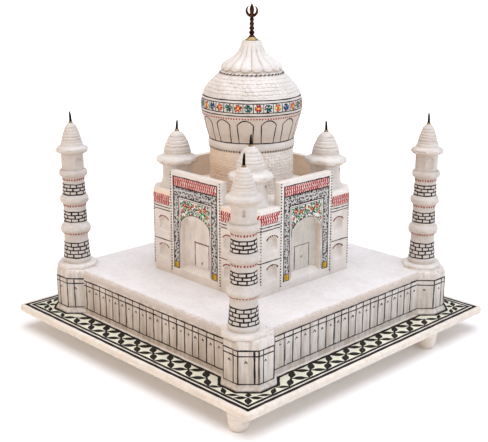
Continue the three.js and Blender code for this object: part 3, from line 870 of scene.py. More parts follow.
# door wall: a concave panel that closes each arch, hollowed into its corners
for side in SIDES:
    b = Body()
    m = side_map(side, 49.8)
    na, nz = 61, 84
    A = np.linspace(-ARCH_HALF - 0.25, ARCH_HALF + 0.25, na)
    Zs = np.linspace(Z_SILL + 1.0, Z_APEX + 0.4, nz)
    top = arch_height(np.clip(A / ARCH_HALF, -1, 1), Z_SPRING, Z_APEX)
    V = []
    for z in Zs:
        for a, t in zip(A, top):
            e = min(ARCH_HALF - abs(a), (t - z) * 0.85)
            q = max(0.0, min(1.0, e / 4.2))
            d = 3.0 * (1 - math.sqrt(max(0.0, 1 - (1 - q) ** 2)))
            d += 0.05 * float(vnoise(a / 2.5, z / 2.5, 55))
            V.append(m(a, z, 0.12 + min(d, 3.2)))
    k = len(V)
    for z in Zs:
        for a in A:
            V.append(m(a, z, 0.02))
    faces = []
    for i in range(nz - 1):
        for j in range(na - 1):
            p = i * na + j
            faces.append((p, p + 1, p + na + 1, p + na))
            faces.append((k + p, k + p + na, k + p + na + 1, k + p + 1))
    for j in range(na - 1):
        faces.append((j + 1, j, k + j, k + j + 1))
        p = (nz - 1) * na + j
        faces.append((p, p + 1, k + p + 1, k + p))
    for i in range(nz - 1):
        p = i * na
        faces.append((p, p + na, k + p + na, k + p))
        p = i * na + na - 1
        faces.append((p + na, p, k + p, k + p + na))
    b.add(V, faces)
    # east and north door walls take the darker copy, painted shade
    make("door_wall_" + side, b, niche_shade if side in ("east", "north") else niche_white, (), 60)


def wing_block(body, q):
    """Corner block of the building, its two faces hollowed by niches; made for the south-east corner, turned q quarters."""
    P = 27.3
    # path along the outside (south face, chamfer, east face), then back inside
    def lerp(p0, p1, n):
        return [(p0[0] + (p1[0] - p0[0]) * i / n, p0[1] + (p1[1] - p0[1]) * i / n) for i in range(n)]

    r = 0.5
    d = r / math.sqrt(2)
    path = lerp((P, -H), (H - CH - r, -H), 38) + [(H - CH - r, -H), (H - CH - 0.12, -H + 0.08)] + lerp((H - CH + d, -H + d), (H - d, -H + CH - d), 28) + [
        (H - d, -H + CH - d), (H - 0.08, -H + CH + 0.12)] + lerp((H, -H + CH + r), (H, -P), 38) + [(H, -P)] + [(P, -P)]
    pts = np.array(path)
    n = len(pts)
    Zs = np.concatenate([[51.0, 51.4], np.linspace(52.0, 109.6, 116), [110.0]])
    c, s = round(math.cos(q * PI / 2)), round(math.sin(q * PI / 2))
    rings = []
    CEN, NH = 34.7, 4.7

    def niche(a, z):
        out = 0.0
        for z0, zs, za, dep in ((Z0 + 64.6, Z0 + 71.0, Z0 + 75.0, 3.2), (Z0 + 43.2, Z0 + 49.8, Z0 + 53.6, 2.7)):
            u = abs(a - CEN) / NH
            if u < 1:
                top = zs + (za - zs) * math.sqrt(1 - u * u)
                if z0 < z < top:
                    side = math.sqrt(max(0.0, 1 - u * u))
                    up_ = min(1.0, (top - z) / 2.6)
                    low = min(1.0, (z - z0) / 2.4)
                    out = max(out, dep * side ** 0.55 * math.sqrt(1 - (1 - up_) ** 2) * low)
        return out

    for z in Zs:
        R = pts.copy()
        for i, (x, y) in enumerate(path):
            w = 0.04 * float(vnoise(x / 3, y / 3 + z / 4, 57))
            if abs(y + H) < 1e-6 and x < H - CH:
                R[i, 1] += niche(x, z) + w * 0
            elif abs(x - H) < 1e-6 and y > -H + CH:
                R[i, 0] -= niche(-y, z)
        rings.append(np.column_stack([R[:, 0] * c - R[:, 1] * s, R[:, 0] * s + R[:, 1] * c, np.full(n, z)]))
    stacked(body, rings)


for q, where in enumerate(("south_east", "north_east", "north_west", "south_west")):
    b = Body()
    wing_block(b, q)
    make("wing_" + where, b, white, ["wing_block_" + where], 50)

# the roof cap takes the drum's brighter, painted-light marble
softened("roof_cap", "roof_slab", 0.5, material=drum_white)

# ------------------------------------------------------------------ kiosks
K_C = 38.7
KIOSK = [(13.2, 0), (13.0, 1.2), (12.0, 2.6), (11.3, 5), (10.9, 8), (10.9, 17.2), (14.2, 17.8), (15.1, 18.8), (15.1, 21.2), (14.2, 22.3), (10.7, 23.7), (10.0, 24.8),
         (9.7, 27.4), (8.5, 31.6), (6.6, 35.8), (4.4, 39.2), (2.6, 40.6), (1.2, 41.2)]
KIOSK_H = 41.2
kiosk_profile = dense(KIOSK, 0.36, 2)
kiosk_radius = radius_of(kiosk_profile, Z_ROOF)


def kiosk_disp(seed, phase):
    def disp(T, Z, R):
        body = np.clip((Z - 3.5) / 1.0, 0, 1) * np.clip((17.0 - Z) / 0.4, 0, 1)
        d = body * (R * (octagon(T - phase, 1.05) * 0.98 - 1)) * 0.7
        eave = np.clip((Z - 17.3) / 0.5, 0, 1) * np.clip((23.4 - Z) / 0.8, 0, 1)
        d = d + eave * (R * (octagon(T - phase, 1.06) * 0.972 - 1) + 0.30 * vnoise(T * 5, Z / 2, seed) + 0.10 * fbm(T * 14, Z / 0.8, seed + 4))
        cone = np.clip((Z - 25.0) / 0.5, 0, 1) * np.clip((40.9 - Z) / 1.5, 0, 1)
        f = np.mod((Z - 24.9) / 2.55, 1.0)
        d = d + cone * (0.44 * np.minimum(f / 0.64, 1.0) - 0.74 * np.clip((f - 0.68) / 0.12, 0, 1) * np.clip((1.0 - f) / 0.08, 0, 1))
        d = d + 0.06 * fbm(T * 5 + seed, Z / 2.4, seed + 2)
        return d, 0 * Z
    return disp


for n, (where, (sx, sy)) in enumerate(CORNERS.items()):
    x, y = sx * K_C, sy * K_C
    b = Body()
    turned(b, kiosk_profile, x, y, 144, kiosk_disp(90 + n, PI / 8), 0.0, Z_ROOF)
    make("kiosk_" + where + "_carved", b, dome_white, ["kiosk_" + where], 40)
    b = Body()
    spike(b, x, y, Z_ROOF + KIOSK_H - 0.02, 8.0, (0.3, -0.3, 0.35, 0.2)[n])
    make("roof_spike_" + where, b, black_metal, ["kiosk_spike_" + where], 50)
    b = Body()
    turned(b, dense([(1.6, -0.5), (1.85, 0.0), (1.5, 0.7), (1.2, 1.0)], 0.2), x, y, 24, None, 0.0, Z_ROOF + KIOSK_H)
    make("roof_spike_seat_" + where, b, gilt, (), 50)

# ------------------------------------------------------------------ drum and dome
DRUM = [(30.7, 95.5), (30.7, 126.0)]


def scales(T, Z, R, row, pitch, depth, z0, seed):
    """Rows of carved cells: each row has a rounded upper lip and joints staggered from row to row."""
    k = np.floor((Z - z0) / row)
    fz = (Z - z0) / row - k
    count = np.maximum(6, np.round(2 * PI * 34.0 / pitch))
    u = T / (2 * PI) * count + 0.5 * np.mod(k, 2) + 0.25 * vnoise(k * 7.3, k * 0 + 3.1, seed)
    j = np.floor(u)
    fu = u - j
    e = np.minimum(fu, 1 - fu) * 2
    cell = _hash(j, k, seed) - 0.5
    body = np.clip(e / 0.22, 0, 1) * np.clip(fz / 0.28, 0, 1) * np.clip((1 - fz) / 0.16, 0, 1)
    return depth * (body * (0.75 + 0.5 * cell) - 0.6)


drum_profile = [(30.7, 113.5)] + [(30.7, 113.5 + 30.5 * i / 130) for i in range(1, 131)]


def drum_disp(T, Z, R):
    # courses of rough stone, each chisel mark wider than high
    d = scales(T, Z + 0.25 * vnoise(T * 7, Z / 5, 12), R, 2.15, 5.6, 0.62, 113.5, 15)
    d = d + 0.16 * fbm(T * 16, Z / 1.1, 16)
    plain = np.clip((Z - 142.6) / 0.5, 0, 1)
    edge = np.clip((Z - 113.6) / 0.5, 0, 1)
    return d * (1 - plain) * edge - 0.15 * (1 - plain), 0 * Z


b = Body()
turned(b, drum_profile, 0, 0, 512, drum_disp)
make("drum_carved", b, drum_white, ["drum"], 60)

DOME = [(31.0, 126.0), (31.8, 128.2), (31.8, 130.6), (31.3, 132.6), (32.0, 135.4), (33.2, 139.2), (34.4, 144.2), (35.7, 149.2), (36.7, 153.2), (36.9, 157),
        (36.6, 160), (35.9, 163.8), (34.4, 167.6), (32.0, 171.3), (28.7, 175), (25.2, 178), (23.4, 179.3), (22.6, 179.5)]
dome_profile = dense([(r, z + Z0) for r, z in DOME], 0.45)
dome_radius = radius_of(dome_profile)


def dome_disp(T, Z, R):
    z = Z - Z0
    up_ = np.clip((z - 165.0) / 0.8, 0, 1) * np.clip((179.2 - z) / 0.5, 0, 1)
    d = up_ * (scales(T, Z + 0.3 * vnoise(T * 8, Z / 4, 13), R, 2.3, 3.9, 0.85, Z0 + 165, 25) + 0.15 * fbm(T * 18, Z / 1.0, 26))
    low = np.clip((z - 126.3) / 0.5, 0, 1) * (1 - up_)
    d = d + low * 0.012 * fbm(T * 7, Z / 3, 27)
    return d, 0 * Z


b = Body()
turned(b, dome_profile, 0, 0, 640, dome_disp)
make("dome_carved", b, dome_white, ["main_dome"], 60)

LOTUS = [(22.6, 179.5), (23.1, 179.9), (23.1, 180.5), (21.2, 181.2), (20.9, 181.8), (22.1, 183.2), (21.6, 184.8), (19.6, 186.4), (16.4, 188.5), (12.0, 191.6), (9.4, 194.8), (8.0, 198.2), (7.2, 201), (6.8, 202.2)]
lotus_profile = dense([(r, z + Z0) for r, z in LOTUS], 0.35)
PETALS = 16


def lotus_disp(T, Z, R):
    z = Z - Z0
    ph = T - math.radians(-45)
    p = np.cos(ph * PETALS)
    lobe = np.abs(np.sin(ph * PETALS / 2))  # 0 in the valleys
    rim = np.exp(-(((z - 183.6) / 2.0) ** 2))
    flute = np.clip((z - 184.0) / 2.0, 0, 1) * np.clip((201.0 - z) / 6.0, 0, 1)
    d = (rim * (2.0 * lobe**0.6 - 1.35) + flute * (R * 0.16 * (lobe**0.45 - 0.66))) * np.clip((z - 181.0) / 0.6, 0, 1)
    # each petal tip turns down below the valley between it and the next
    dh = -rim * 1.8 * (lobe**0.7 - 0.40) * np.clip((z - 181.6) / 1.2, 0, 1)
    d = d + 0.10 * fbm(T * 6, Z / 2, 33) * np.clip((z - 181) / 2, 0, 1)
    return d, dh


b = Body()
turned(b, lotus_profile, 0, 0, 480, lotus_disp)
make("lotus_carved", b, dome_white, ["lotus_collar"], 50)

# ------------------------------------------------------------------ finial
b = Body()
turned(b, dense([(4.9, 220.2), (4.95, 220.6), (4.0, 221.3), (3.2, 221.8), (2.7, 222.4)], 0.25), 0, 0, 48)
make("finial_seat_turned", b, gilt, ["finial_seat"], 45)

b = Body()
stem = [(2.4, 222.4), (2.45, 222.9), (1.6, 223.6), (1.25, 224.2)]
for i in range(4):
    z = 224.2 + i * 3.05
    r = 2.15 - i * 0.16
    stem += [(1.15, z), (r * 0.8, z + 0.5), (r, z + 1.25), (r * 0.86, z + 2.1), (1.1, z + 2.85)]
stem += [(1.05, 236.8), (1.2, 238.0), (1.5, 239.0), (1.2, 240.2), (0.9, 240.9)]
turned(b, dense(stem, 0.25, 1), 0, 0, 32)
make("finial_stem", b, bronze, ["finial"], 45)

b = Body()
# crescent: a tapered round bar bent upright in the plane through the south-west to north-east diagonal
ux, uy = math.cos(PI / 4), math.sin(PI / 4)
N, M = 40, 16
cz, RC = 240.9, 3.75
V = []
for i in range(N + 1):
    t = i / N
    ang = math.radians(-90 + (t - 0.5) * 2 * 152)
    w = 0.95 * (1 - abs(2 * t - 1) ** 2.4) + 0.10
    cxr, czr = RC * math.cos(ang), cz + RC * math.sin(ang)
    for j in range(M):
        p = 2 * PI * j / M
        rr = w * math.cos(p)
        off = 0.85 * w * math.sin(p)
        x, z = cxr + rr * math.cos(ang), czr + rr * math.sin(ang)
        V.append((x * ux - off * uy, x * uy + off * ux, z))
faces = []
for i in range(N):
    for j in range(M):
        j2 = (j + 1) % M
        faces.append((i * M + j, (i + 1) * M + j, (i + 1) * M + j2, i * M + j2))
faces.append(tuple(range(M)))
faces.append(tuple(N * M + j for j in range(M - 1, -1, -1)))
b.add(V, faces)
turned(b, dense([(0.75, 238.6), (1.35, 239.6), (1.75, 241.2), (1.55, 242.6), (0.95, 244.3), (0.45, 245.5), (0.05, 246.1)], 0.25, 1), 0, 0, 28)
make("finial_crescent", b, bronze, (), 45)

# ------------------------------------------------------------------ drawn and painted work
rng = random.Random(20261118)
INK, SOFT, DOTS = Body(), Body(), Body()


def put(name, body, material):
    if body.n:
        return make(name, body, material, (), 40)


# inlay in the base plate
ilm = top_map(Z0)
light, dark = Body(), Body()


def ring_square(body, half, w, tone=1.0, wob=0.10):
    for q in range(4):
        c, s = round(math.cos(q * PI / 2)), round(math.sin(q * PI / 2))
        m = lambda x, y, h, c=c, s=s: (x * c - y * s, x * s + y * c, Z0 + h)
        stroke(body, m, [(-half - w / 2, -half), (half + w / 2, -half)], w, rng, wob, tone, 2.5, vary=0.07)


B_R = B_A + 1.8 + 0.95  # octagon of the inner line round a bastion skirt, centre to line
INNER = 103.4


def inner_outline(off):
    """Inner inlay line, octant corners round the bastions, anticlockwise; off widens it outwards."""
    R = B_R + off
    t = R * math.tan(PI / 8)
    I = INNER + off
    pts = []
    for q in range(4):
        c, s = round(math.cos(q * PI / 2)), round(math.sin(q * PI / 2))
        # corner octagon face along y = -(B_C + R) from x = B_C - t to B_C + t, then its diagonal
        xa = B_C - t - (B_C + R - I)  # where the diagonal meets the straight line
        for x, y in ((xa, -I), (B_C - t, -B_C - R), (B_C + t, -B_C - R), (B_C + R, -B_C - t), (B_C + R, -B_C + t), (I, -xa)):
            pts.append((x * c - y * s, x * s + y * c))
    return pts


# pale field between the two outlines
outer = [(118.4, -118.4), (118.4, 118.4), (-118.4, 118.4), (-118.4, -118.4)]
inner = inner_outline(0.0)


def field(body, z_top, z_low):
    """Closed slab between a square and the inner outline."""
    n = len(inner)
    V, faces = [], []
    out_pts = []
    for x, y in inner:
        k = 118.4 / max(abs(x), abs(y))
        out_pts.append((x * k, y * k))
    # put the square's corners in
    ring_o, ring_i = [], []
    for i in range(n):
        ring_o.append(out_pts[i])
        ring_i.append(inner[i])
        if i % 6 == 2:
            s = (math.copysign(118.4, inner[i][0]), math.copysign(118.4, inner[i][1]))
            a, b_ = inner[i], inner[(i + 1) % n]
            ring_o.append(s)
            ring_i.append(((a[0] + b_[0]) / 2, (a[1] + b_[1]) / 2))
    n = len(ring_o)
    for ring, z in ((ring_o, z_top), (ring_i, z_top), (ring_o, z_low), (ring_i, z_low)):
        V += [(x, y, z) for x, y in ring]
    for i in range(n):
        j = (i + 1) % n
        faces += [(i, j, n + j, n + i), (2 * n + j, 2 * n + i, 3 * n + i, 3 * n + j), (i, 2 * n + i, 2 * n + j, j), (n + j, 3 * n + j, 3 * n + i, n + i)]
    body.add(V, faces)


field(light, Z0 + 0.03, Z0 - 0.2)
put("inlay_field", light, inlay_light)
ring_square(dark, 122.25, 2.5)
ring_square(dark, 118.7, 2.1)
stroke(dark, ilm, inner + [inner[0]], 2.2, rng, 0.12, 1.0, 2.0, closed=True, lift=0.07)


def lozenge(body, m, x0, y0, x1, y1, w, tone=1.0):
    """Fat pointed stone between two points, widest near its middle."""
    dx, dy = x1 - x0, y1 - y0
    l = math.hypot(dx, dy)
    dx, dy = dx / l, dy / l
    j = lambda v: v * rng.uniform(0.93, 1.07)
    w2 = w / 2
    prof = [(0.0, 0.16), (0.12, 0.34), (0.32, 0.86), (0.47, 1.0), (0.62, 0.92), (0.86, 0.36), (1.0, 0.14)]
    right = [(x0 + dx * l * t + dy * w2 * j(k), y0 + dy * l * t - dx * w2 * j(k)) for t, k in prof]
    left = [(x0 + dx * l * t - dy * w2 * j(k), y0 + dy * l * t + dx * w2 * j(k)) for t, k in reversed(prof)]
    fill(body, m, right + left, 0.06, tone)


YC, HY, HX = -110.55, 6.9, 9.0
for q in range(4):
    c, s = round(math.cos(q * PI / 2)), round(math.sin(q * PI / 2))
    m = lambda x, y, h, c=c, s=s: (x * c - y * s, x * s + y * c, Z0 + h)
    for k in range(-4, 5):
        xc = k * 18.05 + rng.uniform(-0.3, 0.3)
        yc = YC + rng.uniform(-0.15, 0.15)
        for ax in (-1, 1):
            for ay in (-1, 1):
                if abs(k) == 4 and ay > 0 and ax * k > 0:
                    continue
                lozenge(dark, m, xc + ax * 0.3, yc + ay * 0.25, xc + ax * (HX - 0.1), yc + ay * (HY - 0.1), rng.uniform(4.5, 5.2))
        # small stone at the crossing
        fill(dark, m, [(xc - 1.2, yc), (xc, yc - 0.9), (xc + 1.2, yc), (xc, yc + 0.9)], 0.06)
    # beside the bastion: single stones across the narrow strip, then the corner square
    for x0, y0, x1, y1, w in ((80.6, -117.6, 88.4, -112.6, 3.2), (96.8, -117.6, 89.2, -112.6, 3.6), (97.4, -117.6, 104.6, -112.4, 3.2)):
        lozenge(dark, m, x0, y0, x1, y1, w)
        lozenge(dark, m, -x0, y0, -x1, y1, w)
    for x0, y0, x1, y1, w in ((110.6, -110.6, 117.2, -117.2, 4.6), (110.2, -111.0, 104.4, -117.3, 4.2), (111.0, -110.2, 117.3, -104.4, 4.2), (110.2, -110.2, 106.2, -106.2, 4.0)):
        lozenge(dark, m, x0, y0, x1, y1, w)
put("inlay_black", dark, inlay_black)

# terrace walls: ruled lines, uprights and small carets. Heights were ruled a little differently on each side.
RULES = {"south": (25.7, 22.1, 3.7), "east": (27.1, 23.6, 4.2), "north": (26.4, 22.9, 4.2), "west": (26.2, 22.6, 4.0)}
S_X = [-73.9, -65.2, -57.0, -49.3, -41.6, -33.7, -25.8, -18.0, -10.2, -2.4, 5.6, 14.6, 22.5, 30.2, 38.5, 46.2, 52.7, 60.2, 68.1]
E_X = [-67.7, -59.7, -51.8, -42.8, -34.8, -26.8, -18.5, -11.2, -3.2, 4.4, 12.3, 20.8, 29.2, 37.1, 45.3, 52.6, 60.3, 68.3]


def caret(body, m, a, z, size, tone):
    k = rng.uniform(0.8, 1.2) * size
    lean = rng.uniform(-0.35, 0.35)
    stroke(body, m, [(a - 0.95 * k + lean, z - 1.5 * k), (a + lean * 0.4, z + 0.3 * k)], 0.80, rng, 0.05, tone, 0.8, taper=0.9)
    stroke(body, m, [(a - 0.1 + lean * 0.4, z + 0.35 * k), (a + 1.0 * k, z - 1.5 * k)], 0.90, rng, 0.05, tone, 0.8, taper=0.9)


def sketch_line(body, m, a0, a1, z, w, tone, wob=0.10, gap=0.0, sx=1.0, seg=(9, 22)):
    """A ruled line drawn in a few pulls of the pen, each with its own weight; gap leaves breaks between them."""
    a = a0
    while a < a1 - 0.01:
        l = rng.uniform(*seg) / sx
        e = min(a1, a + l)
        if a1 - e < 2.5 / sx:
            e = a1
        zz = z + rng.uniform(-0.12, 0.12)
        stroke(body, m, [(a - 0.2 / sx, zz), (e + 0.2 / sx, z + rng.uniform(-0.12, 0.12))], w * rng.uniform(0.85, 1.15), rng, wob,
               max(0.0, min(1.0, tone * rng.uniform(0.82, 1.12))), 1.6, sx)
        a = e + (rng.uniform(0.2, 1.0) * gap) / sx


for side in SIDES:
    m = side_map(side, F_WALL)
    zu, z2, zb = (Z0 + v for v in RULES[side])
    xs = {"south": S_X, "east": E_X}.get(side) or [(-76 + 152 * (i + 1) / 20) + rng.uniform(-0.7, 0.7) for i in range(19)]
    end = 76.3
    sketch_line(INK, m, -end, end, zu, 0.98, 1.0)
    sketch_line(INK, m, -end, end, z2, 0.84, 0.95, 0.12, 0.1)
    sketch_line(INK, m, -end, end, zb, 0.74, 0.85, 0.16, 0.9, seg=(4, 12))
    edges = [-end] + list(xs) + [end]
    for i, x in enumerate(xs):
        t = rng.choice((1.0, 0.95, 0.9, 0.85, 0.75, 0.5))
        body = INK if t > 0.6 else SOFT
        w = 0.92 if t > 0.6 else 1.0
        tone = t if t > 0.6 else min(1.0, t + 0.35)
        lean = rng.uniform(-0.35, 0.35)
        stroke(body, m, [(x + lean, z2 + 0.1), (x, zb - 0.2)], w * rng.uniform(0.85, 1.15), rng, 0.13, tone, 1.5)
        up_t = rng.choice((0.95, 0.9, 0.9, 0.45))
        stroke(INK if up_t > 0.6 else SOFT, m, [(x + lean * 1.4, zu), (x + lean, z2)], 0.85, rng, 0.05, up_t if up_t > 0.6 else 0.7, 1.2)
        if i in (0, 6, 13):
            stroke(SOFT, m, [(x + 0.9, z2 - 0.5), (x + 0.9, zb + 3)], 0.5, rng, 0.1, 0.5, 1.5)
    for a, b_ in zip(edges, edges[1:]):
        if b_ - a > 4:
            caret(INK, m, (a + b_) / 2 + rng.uniform(-0.5, 0.5), z2 - 3.1 + rng.uniform(-0.5, 0.5), 1.0, rng.uniform(0.55, 0.95))

for where, (sx, sy) in CORNERS.items():
    cx, cy = sx * B_C, sy * B_C
    ang0 = math.atan2(sy, sx)
    half = B_A * math.tan(PI / 8)
    for k in (-2, -1, 0, 1, 2):
        ang = ang0 + k * PI / 4
        nrm = (math.cos(ang), math.sin(ang), 0)
        acr = (-math.sin(ang), math.cos(ang), 0)
        m = plane_map((cx + nrm[0] * B_A, cy + nrm[1] * B_A, 0), acr, nrm)
        lo, hi = -half, half
        if k == -2:
            lo = -half + 0.9
        if k == 2:
            hi = half - 0.9
        # the ruling follows the neighbouring walls
        zu, z2, zb = Z0 + 26.7, Z0 + 23.1, Z0 + 4.3
        sketch_line(INK, m, lo, hi, zu, 0.98, 1.0)
        sketch_line(INK, m, lo, hi, z2, 0.82, 0.92, 0.1, 0.1)
        sketch_line(INK, m, lo, hi, zb, 0.72, 0.85, 0.12, 0.4)
        if k < 2:
            stroke(INK, m, [(hi - 0.1, zu), (hi - 0.1, zb)], 0.9, rng, 0.08, rng.uniform(0.85, 1.0), 1.5)
        if k in (-1, 0, 1, 2):
            x = {-1: 2.3, 0: 3.6, 1: -3.0, 2: -1.5}[k]
            stroke(INK, m, [(x, zu), (x + 0.2, zb)], 1.25 if k == 0 else 0.8, rng, 0.08, 1.0 if k == 0 else 0.8, 1.5)
        if abs(k) <= 2:
            caret(INK, m, -1.2 + rng.uniform(-0.6, 0.6), z2 - 3.3, 1.05, 0.9)
put("wall_lines", INK, ink)
put("wall_lines_faint", SOFT, ink_soft)

# minaret brickwork and red beading
INK, RED = Body(), Body()
for where, (x, y) in MINARETS.items():
    rad_of, ks = shaft_radius[where]
    m = turned_map(x, y, rad_of)
    at = lambda h, ks=ks: Z_SHAFT + (Z0 + h - Z_SHAFT) * ks
    for z0, row, rows in ((40.6, 2.83, 4), (68.3, 2.5, 3), (89.05, 2.55, 3)):
        joints = None
        for r in range(rows + 1):
            z = at(z0 + r * row)
            rad = rad_of(z)
            a = rng.uniform(0, 6.28)
            pts = [(a + 2 * PI * i / 40, z + 0.10 * math.sin(i * 0.9 + r) * (0 if i in (0, 40) else 1)) for i in range(41)]
            stroke(INK, m, pts, rng.uniform(0.8, 1.0), rng, 0.12, 1.0, 0.8, rad, closed=True, lift=0.08)
            if r < rows:
                n = 11 if z0 < 60 else 10
                ph = (r % 2) * PI / n + rng.uniform(-0.05, 0.05) + {"south_east": 0.1, "north_east": 0.2, "south_west": 0.3, "north_west": 0.4}[where]
                for i in range(n):
                    t = ph + 2 * PI * i / n + rng.uniform(-0.05, 0.05)
                    stroke(INK, m, [(t, z), (t + rng.uniform(-0.02, 0.02), z + row * ks)], rng.uniform(0.8, 1.1), rng, 0.04, 1.0, 0.9, rad, lift=0.08)
    for zd in (59.3, 80.4, 100.3):
        z = at(zd)
        rad = rad_of(z)
        n = int(2 * PI * rad / 1.95)
        for i in range(n):
            t = 2 * PI * i / n + rng.uniform(-0.02, 0.02)
            dot(RED, m, t, z + rng.uniform(-0.12, 0.12), rng.uniform(0.74, 0.92), rng, rad, 6, aspect=0.72, lift=0.12)
put("minaret_bricks", INK, ink)
put("minaret_beading", RED, brick_dot)

# building faces
INK, SOFT, REDB, PINK, GREYW, GOLD, MAR = (Body() for _ in range(7))
COL = {"green": Body(), "leaf": Body(), "blue": Body(), "orange": Body(), "red": Body(), "yellow": Body()}


def brick_strokes(m, a0, a1, z0, z1, rows=3):
    """Painted brick courses: slanting red strokes, the slant turning from course to course, with fine red lines between
    the courses.
    """
    hh = (z1 - z0) / rows
    for r in range(rows):
        a = a0 + rng.uniform(0.1, 0.6)
        zc = z0 + hh * (r + 0.5)
        while a < a1 - 0.5:
            s = 0.62 if r % 2 == 0 else -0.35
            s += rng.uniform(-0.15, 0.15)
            z_lo, z_hi = zc - hh * 0.52, zc + hh * 0.50
            x0, x1 = max(a0, min(a1, a - s)), max(a0, min(a1, a + s))
            stroke(REDB, m, [(x0, z_lo), (x1, z_hi)], rng.uniform(1.0, 1.28), rng, 0.05, 1.0, 1.2, lift=0.05)
            a += rng.uniform(1.95, 2.3)
        if r:
            sketch_line(REDB, m, a0, a1, z0 + hh * r, 0.36, 0.8, 0.08, 1.4, seg=(1.5, 4))


def scribble(m, a0, a1, z0, z1, tone=1.0, density=0.85):
    """Black leafy pattern on a grey wash: rows of small curls with small dots between."""
    horizontal = (a1 - a0) > (z1 - z0)
    L, W = ((a1 - a0), (z1 - z0)) if horizontal else ((z1 - z0), (a1 - a0))
    P_ = (lambda u, v: (a0 + max(0.2, min(L - 0.2, u)), z0 + max(0.3, min(W - 0.3, v)))) if horizontal else (lambda u, v: (a0 + max(0.3, min(W - 0.3, v)), z0 + max(0.2, min(L - 0.2, u))))
    fill(GREYW, m, [(a0, z0), (a1, z0), (a1, z1), (a0, z1)], 0.015)
    rows = max(2, int(round(W / 2.3)))
    n = max(2, int(round(L / 2.0)))
    for i in range(n):
        for r in range(rows):
            u = (i + 0.5 + (0.25 if r % 2 else -0.25)) * L / n + rng.uniform(-0.25, 0.25)
            v = (r + 0.5) * W / rows + rng.uniform(-0.22, 0.22)
            g = rng.uniform(0, 6.28)
            q = rng.uniform(0.62, 0.95)
            arc = rng.choice((-1, 1)) * rng.uniform(0.55, 1.0)
            stroke(INK, m, [P_(u + q * math.cos(g + arc * j), v + q * math.sin(g + arc * j)) for j in range(4)], rng.uniform(0.68, 0.95), rng, 0.0, 1.0, 0.7)
            q2 = P_(u + rng.uniform(-0.4, 0.4), v + rng.uniform(-0.4, 0.4))
            dot(INK if rng.random() < 0.6 else SOFT, m, q2[0], q2[1], rng.uniform(0.26, 0.42), rng, sides=6, tone=1.0)


def dotted(body, m, a0, z0, a1, z1, pitch, r, sx=1.0, jitter=0.1, aspect=1.0):
    l = math.hypot((a1 - a0) * sx, z1 - z0)
    n = int(l / pitch)
    for i in range(n + 1):
        t = i / n
        dot(body, m, a0 + (a1 - a0) * t + rng.uniform(-jitter, jitter) / sx, z0 + (z1 - z0) * t + rng.uniform(-jitter, jitter), r * rng.uniform(0.85, 1.15), rng, sx, 6, aspect=aspect)


def leaf(body, m, a, z, l, w, t, lift=0.07):
    """Pointed leaf of length l and width w lying at angle t."""
    c, s = math.cos(t), math.sin(t)
    pts = []
    for u, v in ((-0.5, 0.0), (-0.22, -0.42), (0.12, -0.5), (0.5, 0.0), (0.12, 0.5), (-0.22, 0.42)):
        du, dv = u * l, v * w
        pts.append((a + du * c - dv * s, z + du * s + dv * c))
    fill(body, m, pts, lift)


def bloom(m, a, z, r, petals, centre, n=5):
    """Petals about a coloured eye, with fine dark strokes between every other petal."""
    g = rng.uniform(0, 6.28)
    for i in range(n):
        t = g + 2 * PI * i / n + rng.uniform(-0.12, 0.12)
        leaf(COL[petals], m, a + r * 0.60 * math.cos(t), z + r * 0.60 * math.sin(t), r * 0.95, r * 0.62, t, 0.08)
        if i % 2 == 0:
            q = t + PI / n
            stroke(INK, m, [(a + r * 0.45 * math.cos(q), z + r * 0.45 * math.sin(q)), (a + r * 1.02 * math.cos(q), z + r * 1.02 * math.sin(q))], 0.30, rng, 0.0, 1.0, 0.6, lift=0.05)
    dot(COL[centre], m, a, z, r * 0.27, rng, sides=8, lift=0.13)


